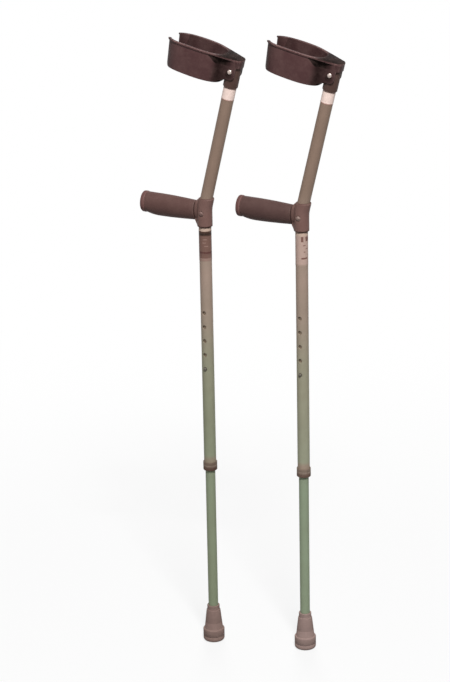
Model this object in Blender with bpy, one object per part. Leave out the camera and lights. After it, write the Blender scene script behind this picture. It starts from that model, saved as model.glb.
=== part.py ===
"""Pair of elbow crutches, each with a bent tube, a hinged cuff, a handle and a telescopic leg.

Each crutch is built round its own upright axis: +Z runs up the leg, -X points along the handle,
and the adjustment holes face -Y. Lengths are in metres.
"""
from math import acos, atan2, cos, pi, radians, sin, tan

import bmesh
import bpy
from mathutils import Matrix, Vector

MM = 0.001

# Clearances
FIT = 0.3 * MM
SLIDE_PLAY = 0.4 * MM
BUTTON_PLAY = 0.3 * MM

# How the two crutches stand beside each other
PAIR_SPACING = 160 * MM
PAIR_STAGGER = 40 * MM

# Main tube
TUBE_RADIUS = 10.5 * MM
TUBE_WALL = 1.6 * MM
TUBE_BOTTOM = 327.1 * MM
BEND_ABOVE_GRIP = 6 * MM
BEND_RADIUS = 60 * MM
LEAN = radians(14)
RIVET_ALONG = 246 * MM
TUBE_END_ABOVE_RIVET = 11 * MM

# Adjustment holes, counted down to the one that holds the button
HOLE_COUNT = 5
HOLE_PITCH = 25 * MM
HOLE_PLAY = 0.5 * MM
BUTTON_HEIGHT = 511 * MM

# Leg tube
LEG_WALL = 1.4 * MM
LEG_ABOVE_BUTTON = 112 * MM
BUSH_FLANGE = 3 * MM
BUSH_PLUG_DEPTH = 10 * MM
COLLAR_HEIGHT = 15 * MM
COLLAR_LIP = 2.5 * MM
COLLAR_WALL = 1.3 * MM

# Snap button and its spring
BUTTON_RADIUS = 2.9 * MM
BUTTON_STAND_OUT = 2.6 * MM
BUTTON_FLANGE_RADIUS = 3.8 * MM
BUTTON_FLANGE_THICKNESS = 1 * MM
SPRING_WIDTH = 5 * MM
SPRING_THICKNESS = 0.7 * MM
SPRING_LENGTH = 36 * MM
SPRING_BEND_RADIUS = 3.2 * MM
SPRING_ABOVE_BUTTON = 4.5 * MM
SPRING_TIP_TURN_IN = 1.05 * MM

# Ferrule
FERRULE_HEIGHT = 67 * MM
FERRULE_FOOT_RADIUS = 18.7 * MM
FERRULE_FOOT_HEIGHT = 23 * MM
FERRULE_SHOULDER_RADIUS = 16 * MM
FERRULE_BODY_TOP_RADIUS = 12.2 * MM
FERRULE_NECK_RADIUS = 10.9 * MM
FERRULE_NECK_HEIGHT = 9 * MM
FERRULE_FLOOR = 10 * MM
FERRULE_ROUNDING = 2 * MM
FERRULE_EDGE = 4.5 * MM
FERRULE_WASHER_THICKNESS = 1.5 * MM

# Handle moulding: a sleeve on the tube, a neck and a core for the grip
SLEEVE_WALL = 2.2 * MM
SLEEVE_BELOW_GRIP = 26 * MM
SLEEVE_ABOVE_GRIP = 23.5 * MM
GRIP_HEIGHT = 788 * MM
GRIP_SLOPE = radians(1.4)
GRIP_START = 16 * MM
GRIP_END = 107 * MM
CORE_END = 96 * MM
CORE_HALF_HEIGHT = 9.5 * MM
CORE_HALF_WIDTH = 8 * MM
NECK_TOP = 16 * MM
NECK_SHOULDER = 21 * MM
NECK_DEPTH = 16.5 * MM
NECK_HALF_WIDTH = 9 * MM
GUSSET_DROP = 24 * MM
GUSSET_WIDTH = 12 * MM

# Grip outline: swell at the middle, and the cap on its end
GRIP_TOP_START = 16.5 * MM
GRIP_DEPTH_START = 17 * MM
GRIP_TOP_SWELL = 19 * MM
GRIP_DEPTH_SWELL = 19.5 * MM
GRIP_DEPTH_END = 15.5 * MM
GRIP_HALF_WIDTH_START = 12.5 * MM
GRIP_HALF_WIDTH = 16 * MM
GRIP_SWELL_SHARE = 0.75
GRIP_EDGE = 1.2 * MM
CAP_THICKNESS = 8 * MM
CAP_RIM = 0.8 * MM
CAP_ROUNDING = 2 * MM
CAP_SPIGOT = 9 * MM

# Screw and nut through the handle moulding
SCREW_DROP = 2 * MM
SCREW_RADIUS = 2.5 * MM
SCREW_HEAD_RADIUS = 4 * MM
SCREW_HEAD_HEIGHT = 2.4 * MM
SCREW_BEYOND_NUT = 1.25 * MM
NUT_RADIUS = 4.6 * MM
NUT_HEIGHT = 3 * MM
SEAT_DEPTH = 0.8 * MM
SEAT_PLAY = 0.8 * MM

# Cuff bracket on the tube's end
BRACKET_WALL = 1.6 * MM
BRACKET_SKIRT = 28 * MM
BRACKET_CAP = 2.7 * MM
BRACKET_ROUNDING = 5 * MM

# Cuff, in its own frame: origin on the rivet, +Z along the tube, -X towards the mouth
CUFF_RISE = 22 * MM
CUFF_CROWN = 2 * MM
CUFF_DROP = 25 * MM
CUFF_WALL = 3 * MM
CUFF_BACK = 19 * MM
CUFF_LENGTH = 94 * MM
CUFF_HALF_WIDTH = 29 * MM
CUFF_BACK_TAPER = 0.82
CUFF_SQUARENESS = 3.2
MOUTH_HALF_WIDTH = 16 * MM
TIP_LEAN = 5 * MM
LIP_WIDTH = 1.7 * MM
LIP_HEIGHT = 3 * MM
LIP_ROUNDING = 0.75 * MM
TIP_ROUNDING = 9 * MM
LUG_THICKNESS = 2.2 * MM
LUG_RADIUS = 9 * MM
LUG_CENTRE_DROP = 5 * MM
LUG_WRAP = radians(20)
LUG_TOP_END = 4 * MM

# Flat hood behind the cuff's wall: its edge runs straight from the rim's side to a round corner.
# A skirt under it goes round the bracket from one lug to the other.
HOOD_START = 42 * MM
HOOD_SKIRT_THICKNESS = 1.2 * MM
HOOD_BEYOND_SKIRT = 0.3 * MM
HOOD_CORNER = 12 * MM
HOOD_SKIRT_BOTTOM = 8 * MM

# Cuff rivet
RIVET_RADIUS = 3 * MM
RIVET_HEAD_RADIUS = 4.6 * MM
RIVET_HEAD_HEIGHT = 2.2 * MM
RIVET_TAIL_RADIUS = 4.2 * MM
RIVET_TAIL_HEIGHT = 1.4 * MM
RIVET_WASHER_RADIUS = 6.5 * MM
RIVET_WASHER_THICKNESS = 1 * MM

# How finely round shapes are divided
TUBE_SIDES = 32
SMALL_SIDES = 20
HOLE_SIDES = 16
BEND_STEPS = 5
ROUNDING_STEPS = 4
CORNER_STEPS = 6
LUG_STEPS = 8
CUFF_STATIONS = 64
CUFF_FINE_STEPS = 40
GRIP_SHARES = (0, 0.02, 0.15, 0.3, 0.45, 0.6, 0.75, 0.85, 0.93, 1)
SHARP_ANGLE = radians(35)
OVERCUT = 5 * MM
SAME_PLACE = 0.001 * MM
PARALLEL = 1e-12

# Worked out from the sizes above
BEND_HEIGHT = GRIP_HEIGHT + BEND_ABOVE_GRIP
SLEEVE_BOTTOM = GRIP_HEIGHT - SLEEVE_BELOW_GRIP
SLEEVE_TOP = GRIP_HEIGHT + SLEEVE_ABOVE_GRIP
BORE_RADIUS = TUBE_RADIUS - TUBE_WALL
LEG_RADIUS = BORE_RADIUS - SLIDE_PLAY
LEG_BORE_RADIUS = LEG_RADIUS - LEG_WALL
LEG_BOTTOM = FERRULE_FLOOR + FERRULE_WASHER_THICKNESS + 2 * FIT
LEG_TOP = BUTTON_HEIGHT + LEG_ABOVE_BUTTON
LEG_HOLE_RADIUS = BUTTON_RADIUS + BUTTON_PLAY
HOLE_RADIUS = BUTTON_RADIUS + HOLE_PLAY
SLEEVE_RADIUS = TUBE_RADIUS + FIT + SLEEVE_WALL
SEAT_FACE = SLEEVE_RADIUS - SEAT_DEPTH
BRACKET_RADIUS = TUBE_RADIUS + FIT + BRACKET_WALL
LUG_INNER = BRACKET_RADIUS + FIT
LUG_OUTER = LUG_INNER + LUG_THICKNESS
HOOD_OVERHANG = LUG_INNER + HOOD_SKIRT_THICKNESS + HOOD_BEYOND_SKIRT
HOOD_CORNER_X = HOOD_OVERHANG - HOOD_CORNER
HOOD_CORNER_Y = LUG_OUTER + HOOD_BEYOND_SKIRT - HOOD_CORNER
GRIP_REACH = GRIP_END + FIT + CAP_THICKNESS
TUBE_LENGTH_ABOVE_BEND = RIVET_ALONG + TUBE_END_ABOVE_RIVET


def start_clean():
    """Remove whatever objects the scene holds."""
    for old in list(bpy.data.objects):
        bpy.data.objects.remove(old, do_unlink=True)


def material(name, colour, roughness, metallic):
    """A plain finish from an RGB colour."""
    made = bpy.data.materials.new(name)
    made.use_nodes = True
    shader = made.node_tree.nodes["Principled BSDF"]
    shader.inputs["Base Color"].default_value = (*colour, 1.0)
    shader.inputs["Roughness"].default_value = roughness
    shader.inputs["Metallic"].default_value = metallic
    return made


def finish_mesh(bm, name):
    """Turn a bmesh into a mesh with outward faces and smooth round sides."""
    bmesh.ops.remove_doubles(bm, verts=bm.verts, dist=SAME_PLACE)
    bmesh.ops.recalc_face_normals(bm, faces=bm.faces)
    mesh = bpy.data.meshes.new(name)
    bm.to_mesh(mesh)
    bm.free()
    mesh.shade_smooth()
    mesh.set_sharp_from_angle(angle=SHARP_ANGLE)
    return mesh


def arc(centre, radius, start, end, steps):
    """Points of an arc in a plane, from start to end in radians, both ends included."""
    return [
        (centre[0] + radius * cos(start + (end - start) * k / steps),
         centre[1] + radius * sin(start + (end - start) * k / steps))
        for k in range(steps + 1)
    ]


def dome(radius, face, height, steps):
    """Profile of a rounded head that stands out from a face towards -Y, from its pole outwards."""
    return [(radius * cos(a), face - height * sin(a))
            for a in (k * pi / 2 / steps for k in range(steps, -1, -1))]


def turned(name, profile, sides, axis="Z"):
    """A solid of revolution from a closed profile of (radius, height) points.

    A point of radius 0 lies on the axis. The axis is Z, or Y with height running along +Y.
    """
    bm = bmesh.new()
    verts = [bm.verts.new((r, 0, h)) for r, h in profile]
    edges = [bm.edges.new((a, b)) for a, b in zip(verts, verts[1:] + verts[:1])
             if a.co.x > 0 or b.co.x > 0]
    bmesh.ops.spin(bm, geom=verts + edges, cent=(0, 0, 0), axis=(0, 0, 1),
                   angle=2 * pi, steps=sides, use_merge=True)
    if axis == "Y":
        bmesh.ops.rotate(bm, verts=bm.verts, cent=(0, 0, 0), matrix=Matrix.Rotation(-pi / 2, 3, "X"))
    return finish_mesh(bm, name)


def lofted(name, rings, inner=None):
    """A solid through rings of points, or a sleeve between outer and inner rings."""
    bm = bmesh.new()

    def skin(loops):
        made = [[bm.verts.new(p) for p in ring] for ring in loops]
        for low, high in zip(made, made[1:]):
            for k in range(len(low)):
                n = (k + 1) % len(low)
                bm.faces.new((low[k], low[n], high[n], high[k]))
        return made

    outside = skin(rings)
    if inner is None:
        bm.faces.new(outside[0])
        bm.faces.new(outside[-1])
    else:
        inside = skin(inner)
        for end in (0, -1):
            out, hole = outside[end], inside[end]
            for k in range(len(out)):
                n = (k + 1) % len(out)
                bm.faces.new((out[k], out[n], hole[n], hole[k]))
    return finish_mesh(bm, name)


def prism(name, outline, low, high, plane):
    """A flat outline pushed through from low to high: XY along Z, or XZ along Y."""
    if plane == "XY":
        rings = [[(a, b, level) for a, b in outline] for level in (low, high)]
    else:
        rings = [[(a, level, b) for a, b in outline] for level in (low, high)]
    return lofted(name, rings)


def bent_rod(name, start, end_along, radius):
    """A round rod on the tube's line, from a height below the bend to a length above it."""
    curve = bpy.data.curves.new(name, "CURVE")
    curve.dimensions = "3D"
    curve.bevel_depth = radius
    curve.bevel_resolution = (TUBE_SIDES - 4) // 2
    curve.use_fill_caps = True
    points = tube_line(start, end_along)
    spline = curve.splines.new("POLY")
    spline.points.add(len(points) - 1)
    for point, place in zip(spline.points, points):
        point.co = (*place, 1.0)
    guide = bpy.data.objects.new(name, curve)
    bm = bmesh.new()
    bm.from_mesh(guide.to_mesh())
    bpy.data.objects.remove(guide)
    bpy.data.curves.remove(curve)
    return finish_mesh(bm, name)


def tube_line(start, end_along):
    """The tube's centre line: up, round the bend, and on along the leaning part."""
    tangent = BEND_RADIUS * tan(LEAN / 2)
    centre = (BEND_RADIUS, BEND_HEIGHT - tangent)
    bend = arc(centre, BEND_RADIUS, pi, pi - LEAN, BEND_STEPS)
    points = [(0, 0, start)]
    points += [(x, 0, z) for x, z in bend]
    points.append(tuple(on_upper_tube(end_along)))
    return points


def on_upper_tube(along, back=0.0, side=0.0):
    """A point in the leaning part's frame: along the tube from the bend, behind it, to its side."""
    return Vector((along * sin(LEAN) + back * cos(LEAN), side,
                   BEND_HEIGHT + along * cos(LEAN) - back * sin(LEAN)))


def ellipse_ring(x, top, depth, half_width):
    """An upright oval across the grip: top above the grip's sloping axis and depth below it."""
    ring = []
    centre = GRIP_HEIGHT + x * tan(GRIP_SLOPE)
    for k in range(TUBE_SIDES):
        angle = 2 * pi * k / TUBE_SIDES
        reach = top if sin(angle) > 0 else depth
        ring.append((-x, half_width * cos(angle), centre + reach * sin(angle)))
    return ring


def core_ring(x, grow=0.0):
    """The oval of the handle's core, or of the bore round it."""
    return ellipse_ring(x, CORE_HALF_HEIGHT + grow, CORE_HALF_HEIGHT + grow, CORE_HALF_WIDTH + grow)


def grip_sizes(share):
    """Top, depth and half width of the grip at a share of its length from the tube."""
    swell = sin(min(share / GRIP_SWELL_SHARE, 1.0) * pi / 2)
    tail = max(share - GRIP_SWELL_SHARE, 0.0) / (1 - GRIP_SWELL_SHARE)
    top = GRIP_TOP_START + (GRIP_TOP_SWELL - GRIP_TOP_START) * swell
    depth = GRIP_DEPTH_START + (GRIP_DEPTH_SWELL - GRIP_DEPTH_START) * swell
    depth += (GRIP_DEPTH_END - GRIP_DEPTH_SWELL) * tail ** 2
    half_width = GRIP_HALF_WIDTH_START + (GRIP_HALF_WIDTH - GRIP_HALF_WIDTH_START) * swell
    return top, depth, half_width


def cuff_line():
    """Evenly spaced points and outward normals of the cuff wall's middle, from tip to tip."""
    half_length = CUFF_LENGTH / 2
    middle = -CUFF_BACK - half_length
    power = 2 / CUFF_SQUARENESS
    share = (1 - (MOUTH_HALF_WIDTH / CUFF_HALF_WIDTH) ** CUFF_SQUARENESS) ** (1 / CUFF_SQUARENESS)
    last = pi - acos(share ** (1 / power))
    fine = CUFF_FINE_STEPS * CUFF_STATIONS
    dense = []
    for k in range(fine + 1):
        angle = -last + 2 * last * k / fine
        c, s = cos(angle), sin(angle)
        x = middle + half_length * (abs(c) ** power) * (1 if c > 0 else -1)
        y = CUFF_HALF_WIDTH * (abs(s) ** power) * (1 if s > 0 else -1)
        from_back = min((-CUFF_BACK - x) / half_length, 1.0)
        taper = CUFF_BACK_TAPER + (1 - CUFF_BACK_TAPER) * sin(from_back * pi / 2)
        dense.append(Vector((x, y * taper)))
    runs = [0.0]
    for a, b in zip(dense, dense[1:]):
        runs.append(runs[-1] + (b - a).length)
    line = []
    at = 0
    for k in range(CUFF_STATIONS + 1):
        wanted = runs[-1] * k / CUFF_STATIONS
        while at < fine - 1 and runs[at + 1] < wanted:
            at += 1
        part = (wanted - runs[at]) / (runs[at + 1] - runs[at])
        point = dense[at].lerp(dense[at + 1], part)
        along = (dense[at + 1] - dense[at]).normalized()
        line.append((point, Vector((along.y, -along.x)), min(wanted, runs[-1] - wanted)))
    return line


def rim_half_width(x):
    """Half the width over the rim at a place along the cuff."""
    half_length = CUFF_LENGTH / 2
    share = abs(x + CUFF_BACK + half_length) / half_length
    from_back = min((-CUFF_BACK - x) / half_length, 1.0)
    taper = CUFF_BACK_TAPER + (1 - CUFF_BACK_TAPER) * sin(from_back * pi / 2)
    wall = CUFF_HALF_WIDTH * (1 - share ** CUFF_SQUARENESS) ** (1 / CUFF_SQUARENESS) * taper
    return wall + CUFF_WALL / 2 + LIP_WIDTH


def hood_edge():
    """The hood's edge in plan, from the near side round the back to the far side."""
    start = rim_half_width(-HOOD_START)
    run = HOOD_START + HOOD_CORNER_X
    turn = pi / 2 - atan2(start - HOOD_CORNER_Y - HOOD_CORNER, run)
    near = arc((HOOD_CORNER_X, -HOOD_CORNER_Y), HOOD_CORNER, -turn, 0, CORNER_STEPS)
    far = arc((HOOD_CORNER_X, HOOD_CORNER_Y), HOOD_CORNER, 0, turn, CORNER_STEPS)
    edge = [(-HOOD_START, -start)] + near + far + [(-HOOD_START, start)]
    return [Vector(p) for p in edge]


def reach_to(edge, point, normal):
    """How far a line drawn from a point meets an edge, or 0 where it misses it."""
    for a, b in zip(edge, edge[1:]):
        side = b - a
        across = normal.x * side.y - normal.y * side.x
        if abs(across) < PARALLEL:
            continue
        gap = a - point
        along = (gap.x * side.y - gap.y * side.x) / across
        share = (gap.x * normal.y - gap.y * normal.x) / across
        if along > 0 and 0 <= share <= 1:
            return along
    return 0.0


def rim_crown(x):
    """How much the rim stands up at a place along the cuff."""
    middle = CUFF_BACK + (CUFF_LENGTH - CUFF_BACK) / 2
    return CUFF_CROWN * max(0.0, 1 - ((-x - middle) / middle) ** 2)


def tip_lean(x, z):
    """How far the cuff's front half leans forward at a place: most at the rim's tips."""
    from_middle = max(0.0, -x - CUFF_BACK - CUFF_LENGTH / 2) / (CUFF_LENGTH / 2)
    return TIP_LEAN * from_middle * (z + CUFF_DROP) / (CUFF_RISE + CUFF_DROP)


def cuff_shell(name):
    """The cuff's C-shaped wall with rounded tips; its top edge spreads into a lip and a hood."""
    inner = -CUFF_WALL / 2
    outer = CUFF_WALL / 2
    bevel = LIP_ROUNDING
    edge = hood_edge()
    rings = []
    for point, normal, from_tip in cuff_line():
        lift = 0.0
        if from_tip < TIP_ROUNDING:
            gone = TIP_ROUNDING - from_tip
            lift = TIP_ROUNDING - (TIP_ROUNDING ** 2 - gone ** 2) ** 0.5
        low = -CUFF_DROP + lift
        lip = max(outer + LIP_WIDTH, reach_to(edge, point, normal))
        section = [
            (inner + bevel, low), (outer - bevel, low), (outer, low + bevel),
            (outer, CUFF_RISE - LIP_HEIGHT), (lip, CUFF_RISE - LIP_HEIGHT),
            (lip, CUFF_RISE - bevel), (lip - bevel, CUFF_RISE),
            (inner + bevel, CUFF_RISE), (inner, CUFF_RISE - bevel), (inner, low + bevel),
        ]
        ring = []
        for n, z in section:
            x = point.x + normal.x * n
            height = z + rim_crown(x) if z > 0 else z
            ring.append((x - tip_lean(x, z), point.y + normal.y * n, height))
        rings.append(ring)
    return lofted(name, rings)


def lug_outline():
    """Side view of a cuff lug, from the wall back to the round end about the rivet."""
    front = -CUFF_BACK - CUFF_WALL
    top = CUFF_RISE - LIP_HEIGHT / 2
    centre = (0, -LUG_CENTRE_DROP)
    round_end = arc(centre, LUG_RADIUS, 0, -pi / 2 - LUG_WRAP, LUG_STEPS)
    back = [(LUG_TOP_END, top), (LUG_RADIUS, HOOD_SKIRT_BOTTOM)]
    return [(front, top)] + back + round_end + [(front, -CUFF_DROP + CUFF_WALL)]


def skirt_outline():
    """Plan of the skirt: round the hood's corners outside, and round the bracket inside."""
    radius = HOOD_CORNER - HOOD_BEYOND_SKIRT
    near = arc((HOOD_CORNER_X, -HOOD_CORNER_Y), radius, -pi / 2, 0, CORNER_STEPS)
    far = arc((HOOD_CORNER_X, HOOD_CORNER_Y), radius, 0, pi / 2, CORNER_STEPS)
    reach = acos(HOOD_CORNER_X / LUG_INNER)
    return near + far + arc((0, 0), LUG_INNER, reach, -reach, 2 * CORNER_STEPS)


class Crutch:
    """One crutch: its frame, its pieces and the cutters that shape them."""

    def __init__(self, side, base, finishes):
        self.side = side
        self.finishes = finishes
        self.frame = self.empty("crutch", base, (0, 0, 0), None)
        self.leg = self.empty("leg", (0, 0, 0), (0, 0, 0), self.frame)
        self.top = self.empty("cuff_pivot", on_upper_tube(RIVET_ALONG), (0, LEAN, 0), self.frame)
        self.button = self.empty("button_line", (0, 0, BUTTON_HEIGHT), (0, 0, 0), self.leg)
        self.screw = self.empty("screw_line", (0, 0, GRIP_HEIGHT - SCREW_DROP), (0, 0, 0), self.frame)

    def empty(self, name, place, turn, parent):
        made = bpy.data.objects.new(f"{self.side}_{name}", None)
        made.location = place
        made.rotation_euler = turn
        made.parent = parent
        bpy.context.scene.collection.objects.link(made)
        return made

    def piece(self, name, mesh, finish, parent):
        made = bpy.data.objects.new(f"{self.side}_{name}", mesh)
        made.parent = parent
        mesh.name = made.name
        mesh.materials.append(self.finishes[finish])
        bpy.context.scene.collection.objects.link(made)
        return made

    def tool(self, name, mesh, parent):
        """A hidden shape that cuts or joins a piece."""
        made = bpy.data.objects.new(f"{self.side}_{name}_tool", mesh)
        made.parent = parent
        made.hide_render = True
        made.display_type = "WIRE"
        bpy.context.scene.collection.objects.link(made)
        return made

    def combine(self, piece, tool, operation):
        step = piece.modifiers.new(f"{operation.lower()} {tool.name}", "BOOLEAN")
        step.operation = operation
        step.object = tool
        step.solver = "EXACT"

    def cut(self, piece, tool):
        self.combine(piece, tool, "DIFFERENCE")

    def join(self, piece, tool):
        self.combine(piece, tool, "UNION")

    def cross_hole(self, name, radius, reach, parent, near_only=False, height=0.0):
        """A round cutter along Y, right through or through the near wall alone."""
        far = 0.0 if near_only else reach
        profile = [(0, -reach), (radius, -reach), (radius, far), (0, far)]
        made = self.tool(name, turned(name, profile, HOLE_SIDES, "Y"), parent)
        made.location = (0, 0, height)
        return made

    def build(self):
        rivet_hole = self.cross_hole("rivet_hole", RIVET_RADIUS + FIT, 2 * LUG_OUTER, self.top)
        screw_hole = self.cross_hole("screw_hole", SCREW_RADIUS + FIT, 2 * SLEEVE_RADIUS, self.screw)
        self.make_main_tube(rivet_hole, screw_hole)
        self.make_cuff_bracket(rivet_hole)
        self.make_cuff(rivet_hole)
        self.make_cuff_rivet()
        self.make_handle_moulding(screw_hole)
        self.make_grip()
        self.make_handle_fasteners(screw_hole)
        self.make_collar()
        self.make_leg_tube()
        self.make_leg_top_bush()
        self.make_snap_button()
        self.make_leg_spring()
        self.make_ferrule()

    def make_main_tube(self, rivet_hole, screw_hole):
        tube = self.piece("main_tube", bent_rod("tube", TUBE_BOTTOM, TUBE_LENGTH_ABOVE_BEND, TUBE_RADIUS),
                          "alloy", self.frame)
        bore = self.tool("bore", bent_rod("bore", TUBE_BOTTOM - OVERCUT,
                                          TUBE_LENGTH_ABOVE_BEND + OVERCUT, BORE_RADIUS), self.frame)
        self.cut(tube, bore)
        self.cut(tube, rivet_hole)
        self.cut(tube, screw_hole)
        for k in range(HOLE_COUNT):
            self.cut(tube, self.cross_hole(f"adjust_hole_{k + 1}", HOLE_RADIUS, 2 * TUBE_RADIUS,
                                           self.frame, near_only=True,
                                           height=BUTTON_HEIGHT + k * HOLE_PITCH))

    def make_cuff_bracket(self, rivet_hole):
        bore = TUBE_RADIUS + FIT
        ceiling = TUBE_END_ABOVE_RIVET + FIT
        top = ceiling + BRACKET_CAP
        shoulder = arc((BRACKET_RADIUS - BRACKET_ROUNDING, top - BRACKET_ROUNDING),
                       BRACKET_ROUNDING, 0, pi / 2, ROUNDING_STEPS)
        profile = [(bore, -BRACKET_SKIRT), (BRACKET_RADIUS, -BRACKET_SKIRT)] + shoulder + [
            (0, top), (0, ceiling), (bore, ceiling)]
        bracket = self.piece("cuff_bracket", turned("bracket", profile, TUBE_SIDES), "cuff plastic", self.top)
        self.cut(bracket, rivet_hole)

    def make_cuff(self, rivet_hole):
        cuff = self.piece("cuff", cuff_shell("cuff"), "cuff plastic", self.top)
        for label, low in (("near", -LUG_OUTER), ("far", LUG_INNER)):
            lug = self.tool(f"{label}_lug", prism("lug", lug_outline(), low, low + LUG_THICKNESS, "XZ"),
                            self.top)
            self.join(cuff, lug)
        wall = prism("skirt", skirt_outline(), HOOD_SKIRT_BOTTOM, CUFF_RISE - LIP_HEIGHT / 2, "XY")
        self.join(cuff, self.tool("hood_skirt", wall, self.top))
        self.cut(cuff, rivet_hole)

    def make_cuff_rivet(self):
        head_face = -LUG_OUTER - FIT
        washer_face = LUG_OUTER + FIT
        tail_face = washer_face + RIVET_WASHER_THICKNESS + FIT
        head = dome(RIVET_HEAD_RADIUS, head_face, RIVET_HEAD_HEIGHT, ROUNDING_STEPS)
        profile = head + [
            (RIVET_RADIUS, head_face), (RIVET_RADIUS, tail_face), (RIVET_TAIL_RADIUS, tail_face),
            (RIVET_TAIL_RADIUS, tail_face + RIVET_TAIL_HEIGHT / 2),
            (RIVET_RADIUS, tail_face + RIVET_TAIL_HEIGHT), (0, tail_face + RIVET_TAIL_HEIGHT)]
        self.piece("cuff_rivet", turned("rivet", profile, SMALL_SIDES, "Y"), "steel", self.top)
        hole = RIVET_RADIUS + FIT
        ring = [(hole, washer_face), (RIVET_WASHER_RADIUS, washer_face),
                (RIVET_WASHER_RADIUS, washer_face + RIVET_WASHER_THICKNESS),
                (hole, washer_face + RIVET_WASHER_THICKNESS)]
        self.piece("cuff_rivet_washer", turned("washer", ring, SMALL_SIDES, "Y"), "steel", self.top)

    def make_handle_moulding(self, screw_hole):
        moulding = self.piece("handle_moulding", self.sleeve_mesh(), "grip plastic", self.frame)
        half = 2 * SLEEVE_RADIUS
        above = prism("above", [(-half, -half), (half, -half), (half, half), (-half, half)],
                      SLEEVE_TOP, SLEEVE_TOP + 4 * OVERCUT, "XY")
        self.cut(moulding, self.tool("above", above, self.frame))
        neck_rings = [
            ellipse_ring(0, NECK_SHOULDER, NECK_DEPTH, CORE_HALF_WIDTH),
            ellipse_ring(TUBE_RADIUS, NECK_SHOULDER, NECK_DEPTH, NECK_HALF_WIDTH),
            ellipse_ring(GRIP_START - FIT, NECK_TOP, NECK_DEPTH, NECK_HALF_WIDTH),
        ]
        self.join(moulding, self.tool("neck", lofted("neck", neck_rings), self.frame))
        core = lofted("core", [core_ring(TUBE_RADIUS), core_ring(CORE_END)])
        self.join(moulding, self.tool("core", core, self.frame))
        foot = GRIP_HEIGHT - GUSSET_DROP
        gusset = [(-GRIP_START + FIT, GRIP_HEIGHT - CORE_HALF_HEIGHT),
                  (-GRIP_START + FIT, GRIP_HEIGHT - NECK_DEPTH),
                  (-SLEEVE_RADIUS + SLEEVE_WALL / 2, foot), (0, foot),
                  (0, GRIP_HEIGHT - CORE_HALF_HEIGHT)]
        web = prism("gusset", gusset, -GUSSET_WIDTH / 2, GUSSET_WIDTH / 2, "XZ")
        self.join(moulding, self.tool("gusset", web, self.frame))
        room = bent_rod("tube_room", TUBE_BOTTOM, RIVET_ALONG, TUBE_RADIUS + FIT)
        self.cut(moulding, self.tool("tube_room", room, self.frame))
        self.cut(moulding, screw_hole)
        for label, radius, turn in (("head", SCREW_HEAD_RADIUS, 0.0), ("nut", NUT_RADIUS, pi)):
            seat = [(0, -2 * SLEEVE_RADIUS), (radius + SEAT_PLAY, -2 * SLEEVE_RADIUS),
                    (radius + SEAT_PLAY, -SEAT_FACE), (0, -SEAT_FACE)]
            tool = self.tool(f"{label}_seat", turned("seat", seat, SMALL_SIDES, "Y"), self.screw)
            tool.rotation_euler = (0, 0, turn)
            self.cut(moulding, tool)

    def sleeve_mesh(self):
        """The round sleeve on the tube: it follows the bend, and ends past its level top."""
        above = (SLEEVE_TOP - BEND_HEIGHT) / cos(LEAN) + SLEEVE_RADIUS * tan(LEAN) + OVERCUT
        return bent_rod("sleeve", SLEEVE_BOTTOM, above, SLEEVE_RADIUS)

    def make_grip(self):
        length = GRIP_END - GRIP_START
        outside = []
        for share in GRIP_SHARES:
            top, depth, half_width = grip_sizes(share)
            edge = GRIP_EDGE if share == 0 else 0.0
            outside.append(ellipse_ring(GRIP_START + length * share, top - edge, depth - edge,
                                        half_width - edge))
        inside = [core_ring(GRIP_START + length * share, FIT) for share in GRIP_SHARES]
        self.piece("hand_grip", lofted("grip", outside, inside), "grip plastic", self.frame)

        top, depth, half_width = grip_sizes(1)
        start = GRIP_END + FIT
        rim = [(start, 0.0), (start + CAP_ROUNDING / 2, CAP_RIM),
               (start + CAP_THICKNESS - CAP_ROUNDING, CAP_RIM),
               (start + CAP_THICKNESS - CAP_ROUNDING / 3, CAP_RIM - CAP_ROUNDING / 3),
               (start + CAP_THICKNESS, CAP_RIM - CAP_ROUNDING)]
        rings = [core_ring(start - CAP_SPIGOT), core_ring(start)]
        rings += [ellipse_ring(x, top + grow, depth + grow, half_width + grow) for x, grow in rim]
        self.piece("grip_end_cap", lofted("cap", rings), "grip plastic", self.frame)

    def make_handle_fasteners(self, screw_hole):
        seat = -SEAT_FACE - FIT
        head = dome(SCREW_HEAD_RADIUS, seat, SCREW_HEAD_HEIGHT, ROUNDING_STEPS)
        tip = SEAT_FACE + FIT + NUT_HEIGHT + SCREW_BEYOND_NUT
        profile = head + [(SCREW_RADIUS, seat), (SCREW_RADIUS, tip), (0, tip)]
        self.piece("handle_screw", turned("screw", profile, SMALL_SIDES, "Y"), "steel", self.screw)
        low = SEAT_FACE + FIT
        block = [(0, low), (NUT_RADIUS, low), (NUT_RADIUS, low + NUT_HEIGHT), (0, low + NUT_HEIGHT)]
        nut = self.piece("handle_nut", turned("nut", block, 6, "Y"), "steel", self.screw)
        self.cut(nut, screw_hole)

    def make_collar(self):
        bottom = TUBE_BOTTOM - FIT - COLLAR_LIP
        top = bottom + COLLAR_HEIGHT
        outer = TUBE_RADIUS + FIT + COLLAR_WALL
        edge = COLLAR_WALL / 2
        profile = [
            (LEG_RADIUS + FIT, bottom), (outer - edge, bottom), (outer, bottom + edge),
            (outer, top - edge), (outer - edge, top), (TUBE_RADIUS + FIT, top),
            (TUBE_RADIUS + FIT, bottom + COLLAR_LIP), (LEG_RADIUS + FIT, bottom + COLLAR_LIP)]
        self.piece("leg_collar", turned("collar", profile, TUBE_SIDES), "cuff plastic", self.frame)

    def make_leg_tube(self):
        profile = [(LEG_BORE_RADIUS, LEG_BOTTOM), (LEG_RADIUS, LEG_BOTTOM), (LEG_RADIUS, LEG_TOP),
                   (LEG_BORE_RADIUS, LEG_TOP)]
        tube = self.piece("leg_tube", turned("leg", profile, TUBE_SIDES), "leg alloy", self.leg)
        self.cut(tube, self.cross_hole("button_hole", LEG_HOLE_RADIUS, 2 * LEG_RADIUS, self.button,
                                       near_only=True))

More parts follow.
